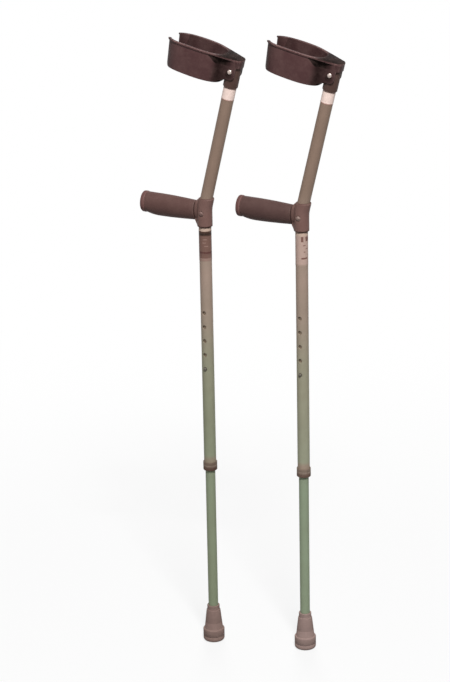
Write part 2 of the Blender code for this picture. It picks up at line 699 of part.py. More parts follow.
    def make_leg_top_bush(self):
        seat = LEG_TOP + FIT
        plug = LEG_BORE_RADIUS - FIT
        flange = BORE_RADIUS - FIT
        profile = [(0, seat - BUSH_PLUG_DEPTH), (plug, seat - BUSH_PLUG_DEPTH), (plug, seat),
                   (flange, seat), (flange, seat + BUSH_FLANGE), (0, seat + BUSH_FLANGE)]
        self.piece("leg_top_bush", turned("bush", profile, SMALL_SIDES), "cuff plastic", self.leg)

    def make_snap_button(self):
        tip = -TUBE_RADIUS - BUTTON_STAND_OUT
        half = BUTTON_FLANGE_RADIUS
        flange = -((LEG_BORE_RADIUS ** 2 - half ** 2) ** 0.5) + FIT
        inner = flange + BUTTON_FLANGE_THICKNESS
        rise = BUTTON_RADIUS / 2
        end = dome(BUTTON_RADIUS, tip + rise, rise, ROUNDING_STEPS)
        profile = end + [(BUTTON_RADIUS, flange), (half, flange), (half, inner), (0, inner)]
        self.piece("leg_snap_button", turned("button", profile, HOLE_SIDES, "Y"), "steel", self.button)
        self.button_back = inner

    def make_leg_spring(self):
        """A flat strip bent like a hairpin: one arm behind the button, the other on the far wall."""
        half = SPRING_THICKNESS / 2
        near = self.button_back + FIT + half
        wall = (LEG_BORE_RADIUS ** 2 - (SPRING_WIDTH / 2) ** 2) ** 0.5 - FIT - half
        low = -SPRING_LENGTH + SPRING_BEND_RADIUS
        line = [Vector((near, SPRING_ABOVE_BUTTON)), Vector((near, -SPRING_ABOVE_BUTTON))]
        line += [Vector(p) for p in arc((0, low), SPRING_BEND_RADIUS, pi, 2 * pi, 8)]
        line += [Vector((wall, -2 * SPRING_ABOVE_BUTTON)), Vector((wall - SPRING_TIP_TURN_IN, 0))]
        rings = []
        for k, point in enumerate(line):
            before = line[max(k - 1, 0)]
            after = line[min(k + 1, len(line) - 1)]
            along = (after - before).normalized()
            across = Vector((-along.y, along.x)) * half
            side = SPRING_WIDTH / 2
            rings.append([(x, *(point + across * s)) for x, s in
                          ((-side, -1), (side, -1), (side, 1), (-side, 1))])
        self.piece("leg_spring", lofted("spring", rings), "steel", self.button)

    def make_ferrule(self):
        bore = LEG_RADIUS + FIT
        neck = FERRULE_HEIGHT - FERRULE_NECK_HEIGHT
        foot = FERRULE_FOOT_HEIGHT
        r = FERRULE_ROUNDING
        edge = arc((FERRULE_FOOT_RADIUS - FERRULE_EDGE, FERRULE_EDGE), FERRULE_EDGE, -pi / 2, 0,
                   ROUNDING_STEPS)
        profile = [(0, 0)] + edge + [
            (FERRULE_FOOT_RADIUS, foot - r), (FERRULE_FOOT_RADIUS - r, foot),
            (FERRULE_SHOULDER_RADIUS, foot + r / 2), (FERRULE_BODY_TOP_RADIUS, neck),
            (FERRULE_NECK_RADIUS, neck + r / 2), (FERRULE_NECK_RADIUS, FERRULE_HEIGHT - r / 4),
            (FERRULE_NECK_RADIUS - r / 4, FERRULE_HEIGHT), (bore, FERRULE_HEIGHT),
            (bore, FERRULE_FLOOR), (0, FERRULE_FLOOR)]
        self.piece("ferrule", turned("ferrule", profile, TUBE_SIDES), "rubber", self.leg)
        low = FERRULE_FLOOR + FIT
        disc = [(0, low), (LEG_RADIUS, low), (LEG_RADIUS, low + FERRULE_WASHER_THICKNESS),
                (0, low + FERRULE_WASHER_THICKNESS)]
        self.piece("ferrule_washer", turned("disc", disc, SMALL_SIDES), "steel", self.leg)


def base_points():
    """Where the two crutches stand, so that the pair's box is centred on the origin."""
    rear = (RIVET_ALONG + CUFF_RISE - LIP_ROUNDING) * sin(LEAN) + HOOD_OVERHANG * cos(LEAN)
    left_x = (GRIP_REACH - PAIR_SPACING - rear) / 2
    return ((left_x, -PAIR_STAGGER / 2, 0), (left_x + PAIR_SPACING, PAIR_STAGGER / 2, 0))


def build_pair():
    start_clean()
    finishes = {
        "alloy": material("anodised alloy", (0.38, 0.29, 0.24), 0.35, 0.9),
        "leg alloy": material("leg alloy", (0.32, 0.33, 0.27), 0.35, 0.9),
        "cuff plastic": material("cuff plastic", (0.065, 0.035, 0.035), 0.5, 0.0),
        "grip plastic": material("grip plastic", (0.13, 0.07, 0.065), 0.55, 0.0),
        "rubber": material("ferrule rubber", (0.22, 0.15, 0.14), 0.75, 0.0),
        "steel": material("bright steel", (0.7, 0.68, 0.66), 0.25, 1.0),
    }
    left, right = base_points()
    Crutch("left", left, finishes).build()
    Crutch("right", right, finishes).build()
    bpy.context.view_layer.update()


build_pair()
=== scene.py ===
"""Looks of a pair of elbow crutches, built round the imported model.

Every piece is modelled once, for the left crutch, in its own upright frame, and then put in its
place. The right crutch gets a copy of it with its own mesh. Lengths are in metres, apart from the
points given to mm() and the places in the table of bands, which are in millimetres.
"""

from bisect import bisect_right
from math import acos, atan2, copysign, cos, pi, radians, sin, tan

import bmesh
import bpy
from mathutils import Matrix, Vector


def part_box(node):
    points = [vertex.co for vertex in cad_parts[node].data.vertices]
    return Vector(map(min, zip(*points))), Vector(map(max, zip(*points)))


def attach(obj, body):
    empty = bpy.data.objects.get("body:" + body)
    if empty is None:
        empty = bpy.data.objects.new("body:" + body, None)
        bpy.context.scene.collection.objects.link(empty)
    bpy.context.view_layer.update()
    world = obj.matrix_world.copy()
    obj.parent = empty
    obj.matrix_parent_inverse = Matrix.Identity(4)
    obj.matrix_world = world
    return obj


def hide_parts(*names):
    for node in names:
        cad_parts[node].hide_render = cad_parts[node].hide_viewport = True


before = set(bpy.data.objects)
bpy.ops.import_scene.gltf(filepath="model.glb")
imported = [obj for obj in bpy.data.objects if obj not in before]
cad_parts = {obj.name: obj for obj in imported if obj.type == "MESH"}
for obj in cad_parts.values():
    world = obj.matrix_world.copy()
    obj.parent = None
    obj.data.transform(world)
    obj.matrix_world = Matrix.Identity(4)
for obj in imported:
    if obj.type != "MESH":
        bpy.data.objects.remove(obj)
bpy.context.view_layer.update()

MM = 0.001
SAME_PLACE = 0.002 * MM
PARALLEL = 1e-12
ROUND_SIDES = 64
SHARP_EDGE = radians(20)
EDGE_REACH = 1.2 * MM

# Tube, leg and collar
TUBE_RADIUS = 10.5 * MM
TUBE_WALL = 1.6 * MM
TUBE_BOTTOM = 327.1 * MM
BEND_HEIGHT = 794 * MM
BEND_RADIUS = 60 * MM
LEAN = radians(14)
BEND_TANGENT = BEND_RADIUS * tan(LEAN / 2)
BEND_START = BEND_HEIGHT - BEND_TANGENT
RIVET_ALONG = 246 * MM
TUBE_END_ABOVE_RIVET = 11 * MM
HOLE_HEIGHTS = [(511 + 25 * k) * MM for k in range(5)]
HOLE_RADIUS = 3.4 * MM
COUNTERSINK = 0.35 * MM
LEG_HOLE_RADIUS = 3.2 * MM
LEG_RADIUS = 8.5 * MM
LEG_WALL = 1.4 * MM
LEG_BOTTOM = 12.1 * MM
LEG_TOP = 623 * MM
COLLAR_BOTTOM = 324.3 * MM
COLLAR_TOP = 339.3 * MM
COLLAR_RADIUS = 12.1 * MM
FIT = 0.3 * MM

# The side of the tubes that shows the bands' rules, turned from -Y
NEAR_SIDE = radians(27.8)

# Handle
GRIP_HEIGHT = 788 * MM
SLEEVE_RADIUS = 13 * MM
SLEEVE_BOTTOM = 762 * MM
SLEEVE_TOP = 811.5 * MM
SLEEVE_CHAMFER = 1.4 * MM
SLEEVE_TOP_SHARE = 0.89
SLEEVE_DRAWN_TO = 30 * MM
ROOM_DRAWN_TO = 60 * MM
BODY_VOXEL = 0.8 * MM
GRIP_SLOPE = radians(1.4)
GRIP_START = 16 * MM
GRIP_END = 107 * MM
GRIP_TOP = 16.5 * MM
GRIP_DEPTH = 17 * MM
GRIP_HALF_WIDTH = 12.5 * MM
GRIP_SWELL = 2.5 * MM
GRIP_SIDE_SWELL = 3.5 * MM
GRIP_TAIL_RISE = 4 * MM
GRIP_SWELL_SHARE = 0.75
GRIP_RINGS = 28
NECK_TOP = 16 * MM
NECK_SHOULDER = 21 * MM
NECK_DEPTH = 16.5 * MM
NECK_HALF_WIDTH = 9 * MM
WEB_TOP = GRIP_HEIGHT - 9.5 * MM
WEB_BOTTOM = GRIP_HEIGHT - 24 * MM
WEB_HALF_WIDTH = 6 * MM
SCREW_HEIGHT = 786 * MM
SCREW_FACE = 12.5 * MM
SCREW_SLOT_TURN = radians(35)
SCREW_SEAT_RADIUS = 4.8 * MM
NUT_SEAT_RADIUS = 5.4 * MM
SEAT_FACE = 12.2 * MM

# Cuff, in its own frame: origin on the rivet, +Z along the tube, -X towards the mouth
CUFF_RISE = 22 * MM
CUFF_CROWN = 2 * MM
CUFF_DROP = 25 * MM
CUFF_WALL = 3 * MM
CUFF_BACK = 19 * MM
CUFF_LENGTH = 94 * MM
CUFF_HALF_WIDTH = 29 * MM
CUFF_BACK_TAPER = 0.82
CUFF_SQUARENESS = 3.2
MOUTH_HALF_WIDTH = 16 * MM
TIP_LEAN = 5 * MM
LIP_WIDTH = 1.7 * MM
LIP_HEIGHT = 3 * MM
LIP_FALL = 0.055
RIM_ROUNDING = 0.75 * MM
TIP_ROUNDING = 9 * MM
CUFF_SPANS = 150
LINE_STEPS = 6000
LUG_INNER = 12.7 * MM
LUG_THICKNESS = 2.2 * MM
LUG_RADIUS = 9 * MM
LUG_CENTRE_DROP = 5 * MM
LUG_TOP_END = 4 * MM
HOOD_START = 42 * MM
HOOD_START_HALF_WIDTH = 29.6 * MM
HOOD_OVERHANG = 14.2 * MM
HOOD_CORNER = 12 * MM
HOOD_CORNER_X = HOOD_OVERHANG - HOOD_CORNER
HOOD_CORNER_Y = 3.2 * MM
HOOD_BEYOND_SKIRT = 0.3 * MM
HOOD_SKIRT_BOTTOM = 8 * MM
BRACKET_RADIUS = 12.4 * MM
RIVET_FACE = 15.2 * MM

FLOOR_SIZE = 40
FLOOR_DROP = 0.3 * MM


def base_of(foot):
    """The point on the ground under the middle of a crutch's foot."""
    low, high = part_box(foot)
    return Vector(((low.x + high.x) / 2, (low.y + high.y) / 2, 0))


def raised(height):
    return Matrix.Translation((0, 0, height))


LEFT_BASE = base_of("left_ferrule")
RIGHT_BASE = base_of("right_ferrule")
UPRIGHT = Matrix.Translation(LEFT_BASE)
CUFF_PLACE = UPRIGHT @ raised(BEND_HEIGHT) @ Matrix.Rotation(LEAN, 4, "Y") @ raised(RIVET_ALONG)
LAID_ACROSS = Matrix.Rotation(-pi / 2, 4, "X")


# Modelling steps

def mm(*points):
    """Points of a profile or an outline, given in millimetres."""
    return [tuple(value * MM for value in point) for point in points]


def deselect():
    bpy.ops.object.select_all(action="DESELECT")


def pick(piece):
    """Select one object alone."""
    deselect()
    piece.select_set(True)
    bpy.context.view_layer.objects.active = piece


def into_edit(piece):
    pick(piece)
    bpy.ops.object.mode_set(mode="EDIT")
    bpy.ops.mesh.select_mode(type="VERT")
    bpy.ops.mesh.select_all(action="DESELECT")


def out_of_edit():
    bpy.ops.object.mode_set(mode="OBJECT")


def choose(piece, kind, wanted):
    """In edit mode, select just the vertices, edges or faces that a test accepts."""
    bpy.ops.mesh.select_mode(type=kind)
    bpy.ops.mesh.select_all(action="DESELECT")
    bm = bmesh.from_edit_mesh(piece.data)
    for part in {"VERT": bm.verts, "EDGE": bm.edges, "FACE": bm.faces}[kind]:
        if wanted(part):
            part.select_set(True)
    bmesh.update_edit_mesh(piece.data)


def settle(name):
    """Name the piece in hand and put its place into its mesh."""
    piece = bpy.context.object
    piece.name = piece.data.name = name
    bpy.ops.object.transform_apply(location=True, rotation=True, scale=True)
    return piece


def start_ring(name, sides, radius, height=0.0, filled=False):
    """A new piece: an open or filled ring lying level about the upright axis, in edit mode."""
    deselect()
    bpy.ops.mesh.primitive_circle_add(vertices=sides, radius=radius, location=(0, 0, height),
                                      fill_type="NGON" if filled else "NOTHING")
    piece = settle(name)
    into_edit(piece)
    bpy.ops.mesh.select_all(action="SELECT")
    return piece


def draw_out(step):
    bpy.ops.mesh.extrude_region_move(TRANSFORM_OT_translate={"value": step})


def face_outwards():
    """Point all faces outwards and leave edit mode."""
    bpy.ops.mesh.select_all(action="SELECT")
    bpy.ops.mesh.normals_make_consistent(inside=False)
    out_of_edit()


def close_up(ring=False):
    """Close the open ends, or join the last ring to the first, and point the faces outwards."""
    bpy.ops.mesh.select_all(action="SELECT")
    if ring:
        bpy.ops.mesh.remove_doubles(threshold=SAME_PLACE)
    else:
        bpy.ops.mesh.fill_holes(sides=0)
    face_outwards()


def turned(name, profile, sides=ROUND_SIDES, ring=False):
    """A turned piece: a ring drawn out and resized through (radius, height) points.

    With ring, the last point is joined to the first, which leaves a hole along the axis.
    """
    piece = start_ring(name, sides, *profile[0])
    path = profile + profile[:1] if ring else profile
    for (radius, height), (next_radius, next_height) in zip(path, path[1:]):
        draw_out((0, 0, next_height - height))
        share = next_radius / radius
        bpy.ops.transform.resize(value=(share, share, 1), center_override=(0, 0, next_height))
    close_up(ring)
    return piece


def set_ring(piece, before, after):
    """Move the selected ring's points from their old places to the new ones, in the same order."""
    bm = bmesh.from_edit_mesh(piece.data)
    for vert in [v for v in bm.verts if v.select]:
        nearest = min(range(len(before)), key=lambda k: (vert.co - before[k]).length_squared)
        vert.co = after[nearest]
    bmesh.update_edit_mesh(piece.data)


def set_points(piece, places):
    """Move the points of a piece in edit mode, in their order."""
    bm = bmesh.from_edit_mesh(piece.data)
    for vert, place in zip(bm.verts, places):
        vert.co = place
    bmesh.update_edit_mesh(piece.data)


def shaped(name, rings):
    """A closed piece drawn out ring by ring, each ring set to its own outline."""
    piece = start_ring(name, len(rings[0]), TUBE_RADIUS)
    set_points(piece, rings[0])
    for before, after in zip(rings, rings[1:]):
        draw_out((0, 0, 0))
        set_ring(piece, before, after)
    close_up()
    return piece


def plate(name, outline, low, high):
    """A flat outline given as (x, z) points, drawn out along Y from low to high."""
    piece = start_ring(name, len(outline), TUBE_RADIUS, filled=True)
    set_points(piece, [(x, low, z) for x, z in outline])
    draw_out((0, high - low, 0))
    close_up()
    return piece


def arc(centre, radius, start, end, steps):
    angles = [start + (end - start) * k / steps for k in range(steps + 1)]
    return [(centre[0] + radius * cos(angle), centre[1] + radius * sin(angle)) for angle in angles]


def rounded(centre, radius, start, end, steps=5):
    """Profile points of a rounded corner, angles in degrees."""
    return arc(centre, radius, radians(start), radians(end), steps)


def apply_step(piece, kind, **settings):
    """Add one modifier with its settings and apply it."""
    pick(piece)
    step = piece.modifiers.new(kind, kind)
    for key, value in settings.items():
        setattr(step, key, value)
    bpy.ops.object.modifier_apply(modifier=step.name)


def soften(piece, width, segments=3, angle=38):
    apply_step(piece, "BEVEL", width=width, segments=segments, limit_method="ANGLE",
               angle_limit=radians(angle), use_clamp_overlap=True)


def cut(piece, tool, operation="DIFFERENCE"):
    apply_step(piece, "BOOLEAN", operation=operation, object=tool, solver="EXACT")
    bpy.data.objects.remove(tool)


def join_on(piece, tool):
    cut(piece, tool, "UNION")


def put(piece, place):
    """Put a piece in its place and leave its object at the origin."""
    pick(piece)
    piece.matrix_world = place
    settle(piece.name)


def remember(piece, own=None):
    """Keep each point's place in the piece's own upright frame, and which points lie on outer edges."""
    spots = piece.data.attributes.new("own_place", "FLOAT_VECTOR", "POINT")
    for vert, spot in zip(piece.data.vertices, spots.data):
        spot.vector = own(vert.co) if own else vert.co
    edges = piece.data.attributes.new("outer_edge", "FLOAT", "POINT")
    bm = bmesh.new()
    bm.from_mesh(piece.data)
    sharp = [any(line.calc_face_angle_signed(0) > SHARP_EDGE for line in vert.link_edges) for vert in bm.verts]
    for vert, edge in zip(bm.verts, edges.data):
        beside = [line.calc_length() for line in vert.link_edges if not sharp[line.other_vert(vert).index]]
        edge.value = sharp[vert.index] and max(beside, default=0) < EDGE_REACH
    bm.free()


def straightened(point):
    """A point of the bent tube, as it would lie on a straight upright one."""
    rise = point.z - BEND_START
    if rise <= 0:
        return point.copy()
    turn = atan2(rise, BEND_RADIUS - point.x)
    if turn < LEAN:
        reach = (rise ** 2 + (BEND_RADIUS - point.x) ** 2) ** 0.5
        return Vector((BEND_RADIUS - reach, point.y, BEND_START + turn * BEND_RADIUS))
    upright = Matrix.Rotation(-LEAN, 3, "Y") @ (point - Vector((0, 0, BEND_HEIGHT)))
    return upright + Vector((0, 0, BEND_START + LEAN * BEND_RADIUS - BEND_TANGENT))


def finish(piece, finish_name, node, body="frame", place=UPRIGHT, smooth=35, own=None):
    """Shade and place the left piece, copy it to the right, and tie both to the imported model."""
    remember(piece, own)
    pick(piece)
    bpy.ops.object.shade_smooth_by_angle(angle=radians(smooth))
    put(piece, place)
    look, slot = FINISHES[finish_name]
    piece.data.materials.clear()
    piece.data.materials.append(look)
    bpy.ops.object.duplicate(linked=False)
    bpy.ops.transform.translate(value=RIGHT_BASE - LEFT_BASE)
    twin = settle(piece.name.replace("left", "right"))
    twin.data.materials[0] = FINISHES.get(f"right {finish_name}", (look, slot))[0]
    for side, made in (("left", piece), ("right", twin)):
        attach(made, f"{side}_{body}")
        if node:
            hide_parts(f"{side}_{node}")


# Finishes

def tone(colour):
    """A colour as it looks on screen, 0 to 255, turned into the shader's own scale."""
    shares = (value / 255 for value in colour)
    return (*(s / 12.92 if s <= 0.04045 else ((s + 0.055) / 1.055) ** 2.4 for s in shares), 1.0)


class Graph:
    """Places and joins shader nodes in a tree, from left to right."""

    def __init__(self, tree):
        self.tree = tree
        self.column = 1

    def feed(self, sockets, *values):
        """Give sockets in turn a value, a colour or another node's output."""
        for socket, value in zip(sockets, values):
            if isinstance(value, bpy.types.NodeSocket):
                self.tree.links.new(value, socket)
            else:
                socket.default_value = value

    def fill(self, node, **inputs):
        """Feed a node's inputs by name."""
        self.feed([node.inputs[label.replace("_", " ")] for label in inputs], *inputs.values())

    def add(self, kind, settings=None, **inputs):
        node = self.tree.nodes.new(f"ShaderNode{kind}")
        node.location = (self.column * 180, 0)
        self.column += 1
        for key, value in (settings or {}).items():
            setattr(node, key, value)
        self.fill(node, **inputs)
        return node

    def maths(self, operation, first, second=0.0, clamp=False):
        node = self.add("Math", {"operation": operation, "use_clamp": clamp})
        self.feed(node.inputs, first, second)
        return node.outputs[0]

    def times(self, value, *others):
        for other in others:
            value = self.maths("MULTIPLY", value, other)
        return value

    def plus(self, first, second, clamp=False):
        return self.maths("ADD", first, second, clamp)

    def minus(self, first, second):
        return self.maths("SUBTRACT", first, second)

    def most(self, first, second, clamp=False):
        return self.maths("MAXIMUM", first, second, clamp)

    def blend(self, share, first, second):
        """A mix of two colours; a mix node keeps its colour sockets at 6 and 7."""
        node = self.add("Mix", {"data_type": "RGBA"})
        self.feed([node.inputs[k] for k in (0, 6, 7)], share, first, second)
        return node.outputs[2]

    def between(self, value, low, high, start=0.0, end=1.0):
        """A value carried from one range to another, held at its ends."""
        node = self.add("MapRange", {"clamp": True, "interpolation_type": "SMOOTHSTEP"})
        self.feed(node.inputs, value, low, high, start, end)
        return node.outputs[0]

    def between_mm(self, value, low, high, start=0.0, end=1.0, origin=0.0):
        """The same for a length, with its range in millimetres from an origin."""
        return self.between(value, origin + low * MM, origin + high * MM, start, end)

    def noise(self, vector, scale, detail=3.0, roughness=0.55):
        return self.add("TexNoise", Vector=vector, Scale=scale, Detail=detail,
                        Roughness=roughness).outputs["Fac"]

    def mapped(self, vector, scale=(1, 1, 1), turn=(0, 0, 0)):
        return self.add("Mapping", Vector=vector, Rotation=turn, Scale=scale).outputs["Vector"]

    def split(self, vector):
        return self.add("SeparateXYZ", Vector=vector).outputs

    def bumps(self, height, strength, depth):
        return self.add("Bump", Strength=strength, Distance=depth, Height=height).outputs["Normal"]

    def use(self, group, place, **amounts):
        return self.add("Group", {"node_tree": group}, Place=place, **amounts).outputs


def effect(name, outputs, **amounts):
    """An empty shader node group that takes a place and named amounts, and puts out named values."""
    group = bpy.data.node_groups.new(name, "ShaderNodeTree")
    new_socket = group.interface.new_socket
    new_socket("Place", in_out="INPUT", socket_type="NodeSocketVector")
    for label, amount in amounts.items():
        socket = new_socket(label.replace("_", " "), in_out="INPUT", socket_type="NodeSocketFloat")
        socket.default_value = amount
    for label in outputs:
        new_socket(label, in_out="OUTPUT", socket_type="NodeSocketFloat")
    start, end = [group.nodes.new(f"NodeGroup{kind}") for kind in ("Input", "Output")]
    end.location = (2600, 0)
    return group, Graph(group), start.outputs, end


def make_drawn_metal():
    """Fine lines along the tube and slight clouding of its anodised skin."""
    group, graph, start, end = effect("drawn metal", ("Height", "Shade", "Roughness"),
                                      Lines=1.0, Clouding=0.5)
    lines = graph.noise(graph.mapped(start["Place"], (1600, 1600, 22)), 1.0, 2.0, 0.6)
    clouds = graph.noise(start["Place"], 38.0, 4.0, 0.6)
    swing = graph.times(graph.minus(clouds, 0.5), start["Clouding"])
    graph.fill(end, Height=graph.times(lines, start["Lines"]), Shade=graph.plus(swing, 0.5, clamp=True),
               Roughness=graph.plus(graph.times(clouds, 0.14), graph.times(lines, 0.1)))
    return group


def make_moulded_grain():
    """The fine leathery grain of moulded plastic or rubber, with broad uneven sheen."""
    group, graph, start, end = effect("moulded grain", ("Height", "Sheen", "Speckle"), Grain_Size=900.0)
    cells = graph.add("TexVoronoi", {"feature": "SMOOTH_F1"}, Vector=start["Place"],
                      Scale=start["Grain Size"], Smoothness=0.7)
    fine = graph.noise(start["Place"], 2600.0, 2.0)
    graph.fill(end, Height=graph.plus(cells.outputs["Distance"], graph.times(fine, 0.35)),
               Sheen=graph.noise(start["Place"], 45.0, 4.0, 0.6), Speckle=fine)
    return group


def make_handling():
    """Where hands and knocks have left a surface scuffed: sparse pale marks and dull patches."""
    group, graph, start, end = effect("handling marks", ("Scuffs", "Dust"), Amount=0.5)
    place, amount = start["Place"], start["Amount"]
    streaks = graph.noise(graph.mapped(place, (420, 90, 420), (0.5, 0.3, 0.9)), 1.0, 3.0, 0.7)
    patches = graph.noise(place, 26.0, 3.0, 0.5)
    scuffs = graph.times(graph.between(streaks, 0.64, 0.74), graph.between(patches, 0.45, 0.65), amount)
    dust = graph.between(graph.noise(place, 120.0, 5.0, 0.7), 0.45, 0.75)
    graph.fill(end, Scuffs=scuffs, Dust=graph.times(dust, amount))
    return group


def make_edge_wear_and_highlight():
    """Broken lines of wear along a piece's outer edges, which also paint a highlight along rims."""
    group, graph, start, end = effect("edge wear and highlight", ("Wear",), Amount=0.5)
    edge = graph.add("Attribute", {"attribute_name": "outer_edge"}).outputs["Fac"]
    broken = graph.between(graph.noise(start["Place"], 260.0, 3.0, 0.6), 0.35, 0.6, 0.35, 1.0)
    graph.fill(end, Wear=graph.times(edge, broken, start["Amount"]))
    return group


DRAWN_METAL = make_drawn_metal()
MOULDED_GRAIN = make_moulded_grain()
HANDLING = make_handling()
EDGE_WEAR_AND_HIGHLIGHT = make_edge_wear_and_highlight()


def new_material(name):
    made = bpy.data.materials.new(name)
    made.use_nodes = True
    shader, output = (made.node_tree.nodes[label] for label in ("Principled BSDF", "Material Output"))
    shader.location, output.location = (2600, 0), (2900, 0)
    return made, Graph(made.node_tree), shader, output


def start_finish(name):
    """A new material with its shader, the point's place in the part and in the piece's own frame."""
    made, graph, shader, _ = new_material(name)
    place = graph.add("TexCoord").outputs["Object"]
    own = graph.add("Attribute", {"attribute_name": "own_place"}).outputs["Vector"]
    return made, graph, shader, place, own


def tube_finish(name, rough, levels):
    """Anodised tube whose tint drifts with height; levels are (height, colour)."""
    made, graph, shader, place, own = start_finish(name)
    metal = graph.use(DRAWN_METAL, own, Lines=1.0, Clouding=0.8)
    marks = graph.use(HANDLING, place, Amount=0.3)
    height = graph.split(own)["Z"]
    colour = tone(levels[0][1])
    for (low, _), (high, upper) in zip(levels, levels[1:]):
        colour = graph.blend(graph.between(height, low, high), colour, tone(upper))
    colour = graph.blend(graph.between(metal["Shade"], 0.2, 0.8, 0.0, 0.2), colour, tone((104, 90, 76)))
    colour = graph.blend(marks["Scuffs"], colour, tone((196, 184, 170)))
    graph.fill(shader, Base_Color=colour, Metallic=0.1, Specular_IOR_Level=0.08,
               Roughness=graph.plus(metal["Roughness"], rough),
               Normal=graph.bumps(metal["Height"], 0.25, 0.05 * MM))
    return made


def inside_cuff(graph, x, y):
    """1 inside the middle line of the cuff's wall, 0 outside it."""
    half_length = CUFF_LENGTH / 2
    half_width = graph.between(x, -CUFF_BACK - half_length, -CUFF_BACK,
                               CUFF_HALF_WIDTH, CUFF_HALF_WIDTH * CUFF_BACK_TAPER)
    from_middle = graph.plus(x, CUFF_BACK + half_length)
    along, across = [
        graph.maths("POWER", graph.maths("DIVIDE", graph.maths("ABSOLUTE", reach), half), CUFF_SQUARENESS)
        for reach, half in ((from_middle, half_length), (y, half_width))]
    return graph.between(graph.plus(along, across), 0.96, 1.0, 1.0, 0.0)


def cuff_painted_shade(graph, own):
    """Painted shade on the cuff: under the hood, in the crease before each lug, round each rivet, on the
    hood's top and on the inner wall, and darker towards the front tips outside.
    """
    place = graph.split(own)
    x, z = place["X"], place["Z"]
    inside = inside_cuff(graph, x, place["Y"])
    underside = graph.plus(graph.times(x, -LIP_FALL), CUFF_RISE - LIP_HEIGHT)
    drop = graph.minus(underside, z)
    crease = graph.times(graph.between_mm(x, -33, -22, 0.0, 0.8), graph.between_mm(x, -19, 5, 1.0, 0.5))
    depth = graph.maths("MINIMUM", graph.between_mm(x, -38, -24, 3 * MM, 13 * MM),
                        graph.between_mm(x, -24, 8, 13 * MM, 9 * MM))
    wedge = graph.times(graph.between_mm(graph.minus(depth, drop), -1, 1),
                        graph.between_mm(x, -40, -36), graph.between_mm(x, -14, 8, 1.0, 0.3))
    outer = graph.times(graph.most(crease, wedge), graph.between_mm(drop, -0.3, 0.3))
    from_lug = graph.add("VectorMath", {"operation": "DISTANCE"})
    graph.feed(from_lug.inputs, graph.add("CombineXYZ", X=x, Z=z).outputs["Vector"],
               (-1.5 * MM, 0, -LUG_CENTRE_DROP))
    outer = graph.most(outer, graph.between_mm(from_lug.outputs["Value"], 3.5, 13, 0.85, 0.0))
    outer = graph.most(outer, graph.between_mm(x, -118, -90, 0.6, 0.0))
    hood = graph.times(graph.between_mm(z, -0.6, 0, origin=CUFF_RISE),
                       graph.between_mm(x, -34, -16, 0.0, 0.95))
    outer = graph.most(graph.times(outer, graph.minus(1.0, inside)), hood)
    return graph.most(outer, graph.times(inside, graph.between_mm(x, -116, -80, 0.75, 0.35)), clamp=True)


def below_groove(graph, own):
    """The collar's lower half, darker towards the bottom."""
    return graph.between_mm(graph.split(own)["Z"], 4, 11, 0.7, 0.0, COLLAR_BOTTOM)


def handle_body_painted_shade(graph, own):
    """Painted shade on the handle body: the waist beside the grip and both ends of the sleeve."""
    place = graph.split(own)
    z = place["Z"]
    waist = graph.times(graph.between_mm(z, 10, 20, 1.0, 0.0, GRIP_HEIGHT),
                        graph.between_mm(z, -22, -10, origin=GRIP_HEIGHT),
                        graph.between_mm(place["X"], -10, -3, 0.4, 0.0))
    ends = graph.plus(graph.between_mm(z, -1.8, -1, 0.0, 0.5, SLEEVE_TOP),
                      graph.between_mm(z, 1, 2.6, 0.9, 0.0, SLEEVE_BOTTOM))
    return graph.most(waist, ends, clamp=True)


def grip_end_painted_shade(graph, own):
    """Painted shade on the grip's inner end, where it sits against the handle body."""
    return graph.between_mm(graph.split(own)["X"], -4, -0.5, 0.0, 0.35, -GRIP_START)


def plastic_finish(name, colour, pale, grain_size, rough, bump, wear, dark_mask=None, dark=None):
    """Moulded plastic or rubber: colour with a paler scuffed tone, and a grain of the given size.

    The mask given with the dark tone, when there is one, is painted shade on the cuff, the grip and the
    handle body, and the collar's darker lower half; there the wear, dust and gloss fade too.
    """
    made, graph, shader, place, own = start_finish(name)
    grain = graph.use(MOULDED_GRAIN, own, Grain_Size=grain_size)
    marks = graph.use(HANDLING, place, Amount=wear)
    # Wear along outer edges, which also paints a highlight along the rims
    wear_and_highlight = graph.use(EDGE_WEAR_AND_HIGHLIGHT, place, Amount=wear + 0.3)["Wear"]
    dust = graph.times(marks["Dust"], 0.2)
    colour, pale, gloss = tone(colour), tone(pale), 0.15
    if dark_mask:
        # Painted shade: the dark tone where the mask is, with less wear, dust and gloss
        shade = dark_mask(graph, own)
        colour = graph.blend(shade, colour, tone(dark))
        wear_and_highlight = graph.times(wear_and_highlight, graph.between(shade, 0.1, 0.6, 1.0, 0.15))
        dust = graph.times(dust, graph.between(shade, 0.2, 0.8, 1.0, 0.1))
        gloss = graph.between(shade, 0.2, 1.0, gloss, 0.02)
    # The sheen patches paint a faint sheen into the colour; speckle, dust and scuffs are marks of the
    # surface, and the edge lines are wear with a painted rim highlight
    for share in (graph.between(grain["Sheen"], 0.35, 0.7, 0.0, 0.1),
                  graph.between(grain["Speckle"], 0.6, 0.8, 0.0, 0.08), dust, marks["Scuffs"], wear_and_highlight):
        colour = graph.blend(share, colour, pale)
    graph.fill(shader, Base_Color=colour, Specular_IOR_Level=gloss,
               Roughness=graph.between(grain["Sheen"], 0.3, 0.7, rough - 0.05, rough + 0.08),
               Normal=graph.bumps(grain["Height"], bump, 0.12 * MM))
    return made


def steel_finish(name, clean, dull, metallic, rough):
    made, graph, shader, place, own = start_finish(name)
    marks = graph.use(HANDLING, place, Amount=0.9)
    tarnish = graph.noise(own, 300.0, 4.0)
    colour = graph.blend(graph.between(tarnish, 0.4, 0.7, 0.0, 0.6), tone(clean), tone(dull))
    colour = graph.blend(marks["Scuffs"], colour, tone((225, 220, 214)))
    graph.fill(shader, Base_Color=colour, Metallic=metallic,
               Roughness=graph.between(tarnish, 0.3, 0.7, rough, rough + 0.17),
               Normal=graph.bumps(tarnish, 0.15, 0.05 * MM))
    return made


